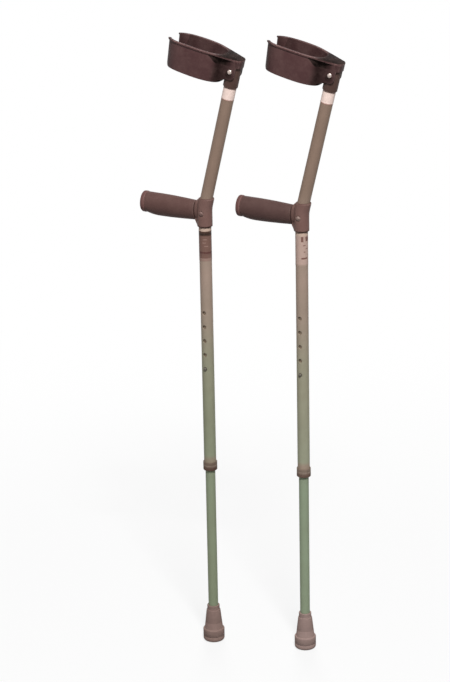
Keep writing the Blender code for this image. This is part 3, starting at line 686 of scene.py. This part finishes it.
def band_finish(name, ground, rings, rules=(), rule_tone=None):
    """A thin film: a ground with rings of colour up its height and plain short rules.

    rings are (low, high, colour); rules are (low, high, left, right), measured across the near side.
    """
    made, graph, shader, place, own = start_finish(name)
    marks = graph.use(HANDLING, place, Amount=0.7)
    soft = 0.25

    def strip(value, low, high):
        return graph.times(graph.between_mm(value, low - soft, low + soft),
                           graph.between_mm(value, high - soft, high + soft, 1.0, 0.0))

    ragged = graph.times(graph.minus(graph.noise(own, 700.0, 2.0), 0.5), 0.5 * MM)
    height = graph.plus(graph.split(own)["Z"], ragged)
    facing = graph.split(graph.mapped(own, turn=(0, 0, -NEAR_SIDE)))
    near = graph.between_mm(facing["Y"], -1, 1, 1.0, 0.0)
    colour = tone(ground)
    for low, high, tint in rings:
        colour = graph.blend(strip(height, low, high), colour, tone(tint))
    for low, high, left, right in rules:
        share = graph.times(strip(height, low, high), strip(facing["X"], left, right), near)
        colour = graph.blend(share, colour, tone(rule_tone))
    colour = graph.blend(graph.times(marks["Dust"], 0.25), colour, tone((140, 122, 110)))
    graph.fill(shader, Base_Color=colour, Specular_IOR_Level=0.12,
               Roughness=graph.between(marks["Dust"], 0.0, 1.0, 0.42, 0.58),
               Normal=graph.bumps(graph.noise(own, 500.0), 0.12, 0.1 * MM))
    return made


# Tints of the tubes by height, the same on both crutches above the holes
ABOVE_HOLES = [(0.63, (160, 142, 128)), (0.68, (164, 143, 130)), (0.72, (160, 142, 128)),
               (0.86, (141, 119, 105))]
# Painted shade on the leg where it never leaves the upper tube, seen through the holes
INSIDE_TUBE = (0.45, (132, 116, 100))
PALE_RING = (755, 762, (192, 168, 152))
# Painted shadow of the sleeve's lower end across the top of the marked bands
SHADOW_BELOW_SLEEVE = (760.4, 764, (140, 112, 102))

# Each finish starts with its slot. One whose name starts with "right" is for the right crutch alone.
TUBES = {
    "anodised tube": ("alloy", 0.32, [(0.344, (148, 136, 118)), (0.354, (141, 147, 123)),
                                      (0.44, (142, 145, 122)), (0.5, (147, 147, 125)), *ABOVE_HOLES]),
    "right anodised tube": ("alloy", 0.32, [(0.344, (158, 140, 124)), (0.354, (154, 156, 134)),
                                            (0.5, (154, 151, 130)), *ABOVE_HOLES]),
    "anodised leg": ("leg_alloy", 0.3, [(0.05, (138, 148, 122)), (0.44, (141, 152, 127)), INSIDE_TUBE]),
    "right anodised leg": ("leg_alloy", 0.3, [(0.05, (144, 158, 132)), (0.44, (144, 158, 134)),
                                              INSIDE_TUBE]),
}
# Where a plastic has a mask and a dark tone, they are painted shade, apart from the collar's darker lower
# half
PLASTICS = {
    "cuff plastic": ("cuff_plastic", (76, 50, 50), (150, 122, 116), 1100.0, 0.48, 0.35, 0.35,
                     cuff_painted_shade, (18, 12, 10)),
    "cap plastic": ("cuff_plastic", (76, 56, 50), (140, 114, 104), 1100.0, 0.5, 0.35, 0.35),
    "collar plastic": ("cuff_plastic", (104, 88, 76), (150, 132, 120), 1100.0, 0.5, 0.35, 0.35,
                       below_groove, (78, 54, 48)),
    "right collar plastic": ("cuff_plastic", (120, 104, 92), (160, 142, 130), 1100.0, 0.5, 0.35, 0.35,
                             below_groove, (92, 68, 60)),
    "grip plastic": ("grip_plastic", (84, 60, 56), (140, 114, 106), 800.0, 0.55, 0.5, 0.2,
                     grip_end_painted_shade, (50, 34, 32)),
    "right grip plastic": ("grip_plastic", (76, 55, 52), (132, 106, 98), 800.0, 0.55, 0.5, 0.2,
                           grip_end_painted_shade, (50, 34, 32)),
    "grip end plastic": ("grip_plastic", (92, 62, 59), (140, 110, 104), 800.0, 0.5, 0.4, 0.15),
    "handle body plastic": ("grip_plastic", (112, 84, 78), (150, 124, 116), 900.0, 0.5, 0.4, 0.2,
                            handle_body_painted_shade, (52, 34, 30)),
    "foot rubber": ("ferrule_rubber", (130, 108, 101), (182, 154, 144), 700.0, 0.68, 0.4, 0.35),
    "right foot rubber": ("ferrule_rubber", (146, 124, 118), (190, 164, 154), 700.0, 0.68, 0.4, 0.35),
}
STEELS = {
    "plated steel": ("steel", (196, 182, 174), (140, 120, 112), 0.9, 0.28),
    "button steel": ("steel", (92, 86, 76), (66, 60, 52), 0.1, 0.55),
    "dulled steel": ("steel", (116, 90, 84), (98, 76, 70), 0.05, 0.6),
    "right dulled steel": ("steel", (136, 114, 106), (106, 86, 80), 0.12, 0.55),
}
BANDS = {
    "pale band film": ("alloy", (240, 216, 206), [(-1, 1.3, (180, 140, 130)), (19.6, 23, (190, 160, 150))]),
    "marked band film": (
        "alloy", (116, 88, 79),
        [PALE_RING, SHADOW_BELOW_SLEEVE, (746.8, 754.6, (72, 52, 44)), (748.6, 751.8, (50, 36, 30)),
         (716, 719.4, (92, 60, 56)), (713, 716, (112, 84, 76)), (702, 708, (148, 121, 111))],
        [(740, 741.6, -4, 3), (734.4, 735.8, -5, 1), (728.6, 730, -2, 5)], (146, 118, 108)),
    "right marked band film": (
        "alloy", (182, 156, 145), [PALE_RING, SHADOW_BELOW_SLEEVE, (703, 706, (166, 144, 131))],
        [(745, 754, -1.5, 2.5), (746, 754, 6, 11), (738, 739.6, 2, 6), (732.4, 733.6, 6, 10),
         (727, 728.4, 3, 6), (715.2, 717.8, -1, 9)], (118, 86, 78)),
}
FINISHES = {}
for make, table in ((tube_finish, TUBES), (plastic_finish, PLASTICS), (steel_finish, STEELS),
                    (band_finish, BANDS)):
    for name, (slot, *look) in table.items():
        FINISHES[name] = make(name, *look), slot


# Pieces

def bent_tube(name, radius, start, end_along):
    """An open tube along the crutch's line: straight up, round the bend, and on along the lean."""
    piece = start_ring(name, ROUND_SIDES, radius, start)
    draw_out((0, 0, BEND_START - start))
    bpy.ops.mesh.spin(steps=10, angle=-LEAN, center=(BEND_RADIUS, 0, BEND_START), axis=(0, 1, 0))
    rest = end_along - BEND_TANGENT
    draw_out((rest * sin(LEAN), 0, rest * cos(LEAN)))
    return piece


def drill(tube, radius, wall, hole_radius, heights):
    """Give a drawn-out tube its wall, and round holes with a slight countersink in its near side."""
    face_outwards()
    apply_step(tube, "SOLIDIFY", thickness=wall, offset=-1.0)
    rim = hole_radius + COUNTERSINK
    profile = [(rim, -radius - 2 * MM), (rim, -radius - 0.05 * MM), (hole_radius, -radius + 0.3 * MM),
               (hole_radius, -radius / 2)]
    for height in heights:
        tool = turned("hole tool", profile, 32)
        put(tool, raised(height) @ LAID_ACROSS)
        cut(tube, tool)


def make_tube():
    tube = bent_tube("left_upright_tube", TUBE_RADIUS, TUBE_BOTTOM, RIVET_ALONG + TUBE_END_ABOVE_RIVET)
    drill(tube, TUBE_RADIUS, TUBE_WALL, HOLE_RADIUS, HOLE_HEIGHTS)
    finish(tube, "anodised tube", "main_tube", own=straightened)


def make_leg():
    leg = start_ring("left_leg_tube_drawn", ROUND_SIDES, LEG_RADIUS, LEG_BOTTOM)
    draw_out((0, 0, LEG_TOP - LEG_BOTTOM))
    drill(leg, LEG_RADIUS, LEG_WALL, LEG_HOLE_RADIUS, HOLE_HEIGHTS[:1])
    finish(leg, "anodised leg", "leg_tube", "leg")


def make_collar():
    inner = TUBE_RADIUS + FIT
    throat = LEG_RADIUS + FIT
    lip_top = COLLAR_BOTTOM + 2.5 * MM
    foot, shoulder = 0.8 * MM, 0.6 * MM
    profile = [(throat, COLLAR_BOTTOM)]
    profile += rounded((COLLAR_RADIUS - foot, COLLAR_BOTTOM + foot), foot, -90, 0)
    for height in (4.2 * MM, 9.6 * MM):
        groove = COLLAR_BOTTOM + height
        profile += [(COLLAR_RADIUS, groove), (COLLAR_RADIUS - 0.3 * MM, groove + 0.35 * MM),
                    (COLLAR_RADIUS, groove + 0.7 * MM)]
    profile += rounded((COLLAR_RADIUS - shoulder, COLLAR_TOP - shoulder), shoulder, 0, 90)
    profile += [(inner, COLLAR_TOP), (inner, lip_top), (throat, lip_top)]
    finish(turned("left_collar", profile, ring=True), "collar plastic", "leg_collar")


def make_foot():
    """Rubber foot: ringed tread, rounded foot with a ledge, tapering body and a thick lip."""
    profile = mm((2.4, 1.2))
    for outer in (6.4, 10.6):
        profile += mm((outer - 2.4, 1.2), (outer - 2.2, 0), (outer, 0), (outer + 0.2, 1.2))
    profile += mm((12, 1.2), (12.2, 0))
    profile += rounded((14.2 * MM, 4.5 * MM), 4.5 * MM, -90, 0, 8)
    profile += mm((18.7, 9), (18.3, 9.5), (18.7, 10))
    profile += rounded((16.7 * MM, 21 * MM), 2 * MM, 0, 90)
    profile += mm((16.5, 23.1), (16, 24), (14.9, 34), (14.6, 34.5), (14.7, 35.2), (12.3, 56.6),
                  (11.9, 58.2), (11, 58.8), (10.8, 59.6), (10.9, 64))
    profile += rounded((10.1 * MM, 66.2 * MM), 0.8 * MM, 0, 90)
    profile += [(LEG_RADIUS + FIT, 67 * MM), (LEG_RADIUS + FIT, 11.8 * MM), (2 * MM, 11.8 * MM)]
    finish(turned("left_rubber_foot", profile), "foot rubber", "ferrule", "leg", smooth=40)


def make_bracket():
    """The cap on the tube's top, which carries the cuff."""
    skirt, top = -28 * MM, 14 * MM
    edge, crown = 0.7 * MM, 5 * MM
    profile = [(TUBE_RADIUS + FIT, skirt)]
    profile += rounded((BRACKET_RADIUS - edge, skirt + edge), edge, -90, 0)
    profile += rounded((BRACKET_RADIUS - crown, top - crown), crown, 0, 80, 8)
    profile += [(MM, top)]
    finish(turned("left_tube_cap", profile), "cap plastic", "cuff_bracket", place=CUFF_PLACE)


def dome(radius, rise, face, steps=(86, 72, 58, 44, 30, 15, 0)):
    """Profile of a domed head that stands out from a face, from its crown to its rim."""
    return [(radius * cos(angle), -face - rise * sin(angle)) for angle in map(radians, steps)]


def make_rivet():
    profile = dome(4.1 * MM, 2.4 * MM, RIVET_FACE, (88, 75, 60, 45, 30, 15, 0))
    profile += mm((3.9, -15.05), (3, -15), (3, 16.5), (4.2, 16.5), (4.2, 17.2), (3.1, 17.9), (1.4, 17.9),
                  (1.1, 17.2))
    ring = mm((3.3, 15.2), (6.2, 15.2), (6.5, 15.5), (6.5, 15.9), (6.2, 16.2), (3.3, 16.2))
    place = CUFF_PLACE @ LAID_ACROSS
    finish(turned("left_hinge_rivet", profile, 40), "plated steel", "cuff_rivet", place=place)
    finish(turned("left_hinge_washer", ring, 40, ring=True), "plated steel", "cuff_rivet_washer",
           place=place)


def cuff_line():
    """The cuff wall's middle line in plan, tip to tip: fine points and the length run up to each."""
    half_length = CUFF_LENGTH / 2
    middle = -CUFF_BACK - half_length
    power = 2 / CUFF_SQUARENESS
    share = (1 - (MOUTH_HALF_WIDTH / CUFF_HALF_WIDTH) ** CUFF_SQUARENESS) ** (1 / CUFF_SQUARENESS)
    last = pi - acos(share ** (1 / power))
    points = []
    for k in range(LINE_STEPS + 1):
        angle = -last + 2 * last * k / LINE_STEPS
        along, across = [copysign(abs(part) ** power, part) for part in (cos(angle), sin(angle))]
        x = middle + half_length * along
        from_back = min((-CUFF_BACK - x) / half_length, 1.0)
        taper = CUFF_BACK_TAPER + (1 - CUFF_BACK_TAPER) * sin(from_back * pi / 2)
        points.append(Vector((x, CUFF_HALF_WIDTH * across * taper)))
    runs = [0.0]
    for a, b in zip(points, points[1:]):
        runs.append(runs[-1] + (b - a).length)
    return points, runs


def at_run(line, wanted):
    """The point and outward normal of the cuff's line at a distance from its first tip."""
    points, runs = line
    high = min(bisect_right(runs, wanted), len(runs) - 1)
    low = high - 1
    share = (wanted - runs[low]) / (runs[high] - runs[low])
    along = (points[high] - points[low]).normalized()
    return points[low].lerp(points[high], share), Vector((along.y, -along.x))


def hood_corners(radius, turn, steps):
    """The hood's two round corners in plan, the near one and the far one."""
    return (arc((HOOD_CORNER_X, -HOOD_CORNER_Y), radius, -turn, 0, steps)
            + arc((HOOD_CORNER_X, HOOD_CORNER_Y), radius, 0, turn, steps))


def hood_edge():
    """The hood's edge in plan: straight from each side of the wall to a round corner at the back."""
    run = HOOD_START + HOOD_CORNER_X
    turn = pi / 2 - atan2(HOOD_START_HALF_WIDTH - HOOD_CORNER_Y - HOOD_CORNER, run)
    near, far = [(-HOOD_START, y) for y in (-HOOD_START_HALF_WIDTH, HOOD_START_HALF_WIDTH)]
    return [Vector(point) for point in (near, *hood_corners(HOOD_CORNER, turn, 16), far)]


def reach_to(edge, point, normal):
    """How far a line from a point along its normal runs before it meets an edge, or 0."""
    for a, b in zip(edge, edge[1:]):
        side = b - a
        across = normal.x * side.y - normal.y * side.x
        if abs(across) < PARALLEL:
            continue
        gap = a - point
        along = (gap.x * side.y - gap.y * side.x) / across
        share = (gap.x * normal.y - gap.y * normal.x) / across
        if along > 0 and 0 <= share <= 1:
            return along
    return 0.0


def straight_cuff_strip(length):
    """The cuff's wall laid out flat, with its lip drawn out and every outer edge rounded."""
    low, lip_bottom = -CUFF_DROP, CUFF_RISE - LIP_HEIGHT
    deselect()
    bpy.ops.mesh.primitive_cube_add(size=1, location=(length / 2, 0, (low + lip_bottom) / 2),
                                    scale=(length, CUFF_WALL, lip_bottom - low))
    strip = settle("left_forearm_cuff")
    into_edit(strip)
    choose(strip, "FACE", lambda f: f.normal.z > 0.9)
    draw_out((0, 0, LIP_HEIGHT))
    choose(strip, "FACE", lambda f: f.normal.y > 0.9 and f.calc_center_median().z > lip_bottom)
    draw_out((0, LIP_WIDTH, 0))
    choose(strip, "EDGE", lambda e: e.is_convex and e.calc_face_angle(0) > 1)
    bpy.ops.mesh.bevel(offset=RIM_ROUNDING, segments=3, affect="EDGES")
    choose(strip, "EDGE", lambda e: abs(e.verts[0].co.x - e.verts[1].co.x) > 0.9 * length)
    bpy.ops.mesh.subdivide(number_cuts=CUFF_SPANS - 1)
    out_of_edit()
    return strip


def hood_skirt(top):
    """The wall under the hood, round the tube cap from one lug to the other."""
    reach = acos(HOOD_CORNER_X / LUG_INNER)
    plan = hood_corners(HOOD_CORNER - HOOD_BEYOND_SKIRT, pi / 2, 8)
    plan += arc((0, 0), LUG_INNER, reach, -reach, 12)
    skirt = plate("skirt", [(x, -y) for x, y in plan], HOOD_SKIRT_BOTTOM, top)
    put(skirt, Matrix.Rotation(pi / 2, 4, "X"))
    return skirt


def wrap(strip, line):
    """Bend the flat strip round the cuff's line, and shape its tips, crown, lean and hood."""
    length = line[1][-1]
    edge = hood_edge()
    full = CUFF_WALL / 2 + LIP_WIDTH
    middle = CUFF_BACK + (CUFF_LENGTH - CUFF_BACK) / 2
    for vert in strip.data.vertices:
        run = min(max(vert.co.x, 0.0), length)
        point, normal = at_run(line, run)
        out, height = vert.co.y, vert.co.z
        from_tip = min(run, length - run)
        if height < RIM_ROUNDING - CUFF_DROP + SAME_PLACE and from_tip < TIP_ROUNDING:
            gone = TIP_ROUNDING - from_tip
            height += TIP_ROUNDING - (TIP_ROUNDING ** 2 - gone ** 2) ** 0.5
        if out > (CUFF_WALL + LIP_WIDTH) / 2:
            out += max(0.0, reach_to(edge, point, normal) - full)
        x = point.x + normal.x * out
        from_middle = max(0.0, -x - CUFF_BACK - CUFF_LENGTH / 2) / (CUFF_LENGTH / 2)
        lean = TIP_LEAN * from_middle * (height + CUFF_DROP) / (CUFF_RISE + CUFF_DROP)
        if height > 0:
            height += CUFF_CROWN * max(0.0, 1 - ((-x - middle) / middle) ** 2)
        vert.co = Vector((x - lean, point.y + normal.y * out, height))
    into_edit(strip)
    face_outwards()


def make_cuff():
    line = cuff_line()
    cuff = straight_cuff_strip(line[1][-1])
    wrap(cuff, line)
    front = -CUFF_BACK - CUFF_WALL / 2
    top = CUFF_RISE - LIP_HEIGHT / 2
    outline = [(front, top), (LUG_TOP_END, top), (LUG_RADIUS, HOOD_SKIRT_BOTTOM)]
    outline += arc((0, -LUG_CENTRE_DROP), LUG_RADIUS, 0, -pi / 2 - radians(20), 20)
    outline += [(front, -CUFF_DROP + CUFF_WALL)]
    for low in (-LUG_INNER - LUG_THICKNESS, LUG_INNER):
        lug = plate("lug", outline, low, low + LUG_THICKNESS)
        soften(lug, 0.5 * MM)
        join_on(cuff, lug)
    join_on(cuff, hood_skirt(top))
    finish(cuff, "cuff plastic", "cuff", "cuff", CUFF_PLACE)


def oval(x, top, depth, half_width, sides=48):
    """An upright oval across the grip, measured from the grip's sloping axis."""
    centre = GRIP_HEIGHT + x * tan(GRIP_SLOPE)
    ring = []
    for k in range(sides):
        angle = 2 * pi * k / sides
        reach = top if sin(angle) > 0 else depth
        ring.append(Vector((-x, half_width * cos(angle), centre + reach * sin(angle))))
    return ring


def grip_sizes(share):
    """Top, depth and half width of the grip at a share of its length from the tube."""
    swell = sin(min(share / GRIP_SWELL_SHARE, 1.0) * pi / 2)
    tail = max(share - GRIP_SWELL_SHARE, 0.0) / (1 - GRIP_SWELL_SHARE)
    return (GRIP_TOP + GRIP_SWELL * swell, GRIP_DEPTH + GRIP_SWELL * swell - GRIP_TAIL_RISE * tail ** 2,
            GRIP_HALF_WIDTH + GRIP_SIDE_SWELL * swell)


def make_handle_body():
    """Sleeve on the tube with the neck and web that carry the grip, moulded in one."""
    body = bent_tube("left_handle_body", SLEEVE_RADIUS, SLEEVE_BOTTOM, SLEEVE_DRAWN_TO)
    close_up()
    into_edit(body)
    bpy.ops.mesh.select_all(action="SELECT")
    level = SLEEVE_TOP - SLEEVE_CHAMFER
    bpy.ops.mesh.bisect(plane_co=(0, 0, level), plane_no=(0, 0, 1), clear_outer=True, use_fill=True)
    choose(body, "FACE", lambda f: f.normal.z > 0.99 and f.calc_center_median().z > level - MM)
    draw_out((0, 0, SLEEVE_CHAMFER))
    bpy.ops.transform.resize(value=(SLEEVE_TOP_SHARE, SLEEVE_TOP_SHARE, 1),
                             center_override=((SLEEVE_TOP - BEND_HEIGHT) * tan(LEAN), 0, SLEEVE_TOP))
    out_of_edit()
    neck = shaped("neck", [oval(x, top, NECK_DEPTH, half_width) for x, top, half_width in (
        (0, NECK_SHOULDER, 8 * MM), (TUBE_RADIUS, NECK_SHOULDER, NECK_HALF_WIDTH),
        (GRIP_START - FIT, NECK_TOP, NECK_HALF_WIDTH))])
    join_on(body, neck)
    inner = -GRIP_START + FIT
    web = plate("web", [(inner, WEB_TOP), (inner, GRIP_HEIGHT - NECK_DEPTH),
                        (-SLEEVE_RADIUS + 1.1 * MM, WEB_BOTTOM), (0, WEB_BOTTOM), (0, WEB_TOP)],
                -WEB_HALF_WIDTH, WEB_HALF_WIDTH)
    join_on(body, web)
    apply_step(body, "REMESH", mode="VOXEL", voxel_size=BODY_VOXEL, use_smooth_shade=True)
    apply_step(body, "SMOOTH", factor=0.5, iterations=4)
    room = bent_tube("tube room", TUBE_RADIUS + FIT, SLEEVE_BOTTOM - 20 * MM, ROOM_DRAWN_TO)
    close_up()
    cut(body, room)
    for turn, radius in ((0, SCREW_SEAT_RADIUS), (pi, NUT_SEAT_RADIUS)):
        seat = turned("seat", [(radius, -20 * MM), (radius, -SEAT_FACE)], 40)
        put(seat, raised(SCREW_HEIGHT) @ Matrix.Rotation(turn, 4, "Z") @ LAID_ACROSS)
        cut(body, seat)
    finish(body, "handle body plastic", "handle_moulding", smooth=50)


def make_grip():
    shares = [k / GRIP_RINGS for k in range(GRIP_RINGS + 1)]
    grip = shaped("left_hand_hold", [oval(GRIP_START + (GRIP_END - GRIP_START) * share, *grip_sizes(share))
                                     for share in shares])
    soften(grip, 1.1 * MM, 4, 60)
    finish(grip, "grip plastic", "hand_grip")
    top, depth, half_width = grip_sizes(1)
    start = GRIP_END + FIT
    steps = mm((0, -0.9), (0.5, -0.1), (1.2, 0.6), (2, 0.8), (4, 0.8), (6, 0.8), (6.9, 0.5), (7.5, 0),
               (7.85, -0.9), (8, -2.2))
    cap = shaped("left_grip_end", [oval(start + x, top + grow, depth + grow, half_width + grow)
                                   for x, grow in steps])
    finish(cap, "grip end plastic", "grip_end_cap", smooth=40)


def make_screw():
    place = UPRIGHT @ raised(SCREW_HEIGHT)
    screw = turned("left_clamp_screw", dome(4 * MM, 2.4 * MM, SCREW_FACE) + mm(
        (2.5, -12.5), (2.5, 16.5), (2, 16.9)), 40)
    slot = plate("slot", mm((-5, -0.5), (5, -0.5), (5, 0.5), (-5, 0.5)), -16 * MM, -SCREW_FACE - 1.3 * MM)
    put(slot, Matrix.Rotation(SCREW_SLOT_TURN, 4, "Y"))
    put(screw, LAID_ACROSS)
    cut(screw, slot)
    finish(screw, "dulled steel", "handle_screw", place=place)
    nut = turned("left_clamp_nut", mm((2.7, 12.5), (4.6, 12.5), (4.6, 15.5), (2.7, 15.5)), 6, ring=True)
    soften(nut, 0.3 * MM, 2)
    finish(nut, "plated steel", "handle_nut", place=place @ LAID_ACROSS)


def make_button():
    rise = 1.45 * MM
    profile = dome(2.9 * MM, rise, TUBE_RADIUS + 2.6 * MM - rise)
    profile += mm((2.9, -5.7), (3.8, -5.7), (3.8, -4.7))
    finish(turned("left_snap_pin", profile, 40), "button steel", "leg_snap_button", "button",
           UPRIGHT @ raised(HOLE_HEIGHTS[0]) @ LAID_ACROSS)


def make_band(name, finish_name, low, high, place=UPRIGHT):
    skin, top = TUBE_RADIUS + 0.05 * MM, TUBE_RADIUS + 0.2 * MM
    ring = [(skin, low), (top, low), (top, high), (skin, high)]
    finish(turned(name, ring, ring=True), finish_name, None, place=place)


def make_bands():
    """Thin pale film wrapped round the tube below the cap, and the marked one below the handle."""
    make_band("left_pale_band", "pale band film", 0, 21.6 * MM, CUFF_PLACE @ raised(-50 * MM))
    make_band("left_marked_band", "marked band film", 703 * MM, 761.6 * MM)


# Camera, light and floor

def add_object(name, data):
    made = bpy.data.objects.new(name, data)
    bpy.context.scene.collection.objects.link(made)
    return made


def make_camera():
    """The photograph's camera, with its distances measured from the left crutch's base."""
    azimuth, elevation, roll = map(radians, (27.804, 19.13, -1.1422))
    distance, focal_pixels, long_side, sensor = 4.2113, 2478.87, 682, 36
    aim_right, aim_height = 0.02966, 0.55756
    forward = Vector((-sin(azimuth) * cos(elevation), cos(azimuth) * cos(elevation), -sin(elevation)))
    right = Vector((cos(azimuth), sin(azimuth), 0))
    up = right.cross(forward)
    place = right * aim_right + Vector((0, 0, aim_height)) + LEFT_BASE - forward * distance
    across = cos(roll) * right + sin(roll) * up
    upward = -sin(roll) * right + cos(roll) * up
    camera = add_object("camera", bpy.data.cameras.new("camera"))
    camera.data.sensor_width = sensor
    camera.data.lens = focal_pixels / long_side * sensor
    camera.matrix_world = Matrix((*zip(across, upward, -forward, place), (0, 0, 0, 1)))
    bpy.context.scene.camera = camera


def make_lamp(name, place, size, power, gloss=True):
    """A round soft lamp aimed at the middle of the crutches."""
    lamp = add_object(name, bpy.data.lights.new(name, "AREA"))
    lamp.data.shape = "DISK"
    lamp.data.size = size
    lamp.data.energy = power
    lamp.location = place
    lamp.visible_camera = False
    lamp.visible_glossy = gloss
    target = Vector((0, 0, 0.6))
    lamp.rotation_euler = (target - lamp.location).to_track_quat("-Z", "Y").to_euler()


def seen(graph, paths):
    """1 for what the camera sees, straight or in gloss and glass, and 0 for light on the object."""
    straight = graph.plus(paths["Is Camera Ray"], paths["Is Glossy Ray"])
    return graph.plus(straight, paths["Is Transmission Ray"], clamp=True)


def make_world():
    world = bpy.data.worlds.new("studio")
    bpy.context.scene.world = world
    world.use_nodes = True
    graph = Graph(world.node_tree)
    share = seen(graph, graph.add("LightPath").outputs)
    graph.fill(world.node_tree.nodes["Background"], Color=(1, 1, 1, 1),
               Strength=graph.between(share, 0.0, 1.0, 0.08, 1.0))


def make_floor():
    """Plain floor that shows white to the camera and keeps a soft shadow near the feet."""
    deselect()
    bpy.ops.mesh.primitive_plane_add(size=FLOOR_SIZE, location=(0, 0, -FLOOR_DROP))
    floor = settle("studio_floor")
    made, graph, shader, output = new_material("studio floor")
    paths = graph.add("LightPath").outputs
    lit, looked_at = (0.28, 0.28, 0.28, 1), (0.72, 0.72, 0.72, 1)
    graph.fill(shader, Base_Color=graph.blend(paths["Is Camera Ray"], lit, looked_at), Roughness=0.9)
    spot = graph.add("TexCoord").outputs["Object"]
    away = graph.add("VectorMath", {"operation": "LENGTH"}, Vector=spot).outputs["Value"]
    glow = graph.add("Emission", Strength=1.0)
    mix = graph.add("MixShader")
    share = graph.times(seen(graph, paths), graph.between(away, 0.4, 1.8, 0.78, 1.0))
    graph.feed(mix.inputs, share, shader.outputs[0], glow.outputs[0])
    graph.fill(output, Surface=mix.outputs[0])
    floor.data.materials.append(made)


def dress_hidden_nodes():
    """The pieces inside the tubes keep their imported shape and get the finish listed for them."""
    for side in ("left", "right"):
        for node, finish_name in (("leg_spring", "plated steel"), ("ferrule_washer", "plated steel"),
                                  ("leg_top_bush", "collar plastic")):
            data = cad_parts[f"{side}_{node}"].data
            data.materials.clear()
            data.materials.append(FINISHES[finish_name][0])


for make_piece in (make_tube, make_leg, make_collar, make_foot, make_bracket, make_rivet, make_cuff,
                   make_handle_body, make_grip, make_screw, make_button, make_bands):
    make_piece()
dress_hidden_nodes()
make_camera()
make_world()
make_floor()
make_lamp("key", (1.83, -2.48, 4.5), 1.1, 310)
make_lamp("fill", (-2.8, -2.2, 1.6), 2.4, 10)
make_lamp("back", (-1.5, 2.8, 1.7), 1.8, 70, gloss=False)
bpy.context.scene.view_settings.view_transform = "Standard"
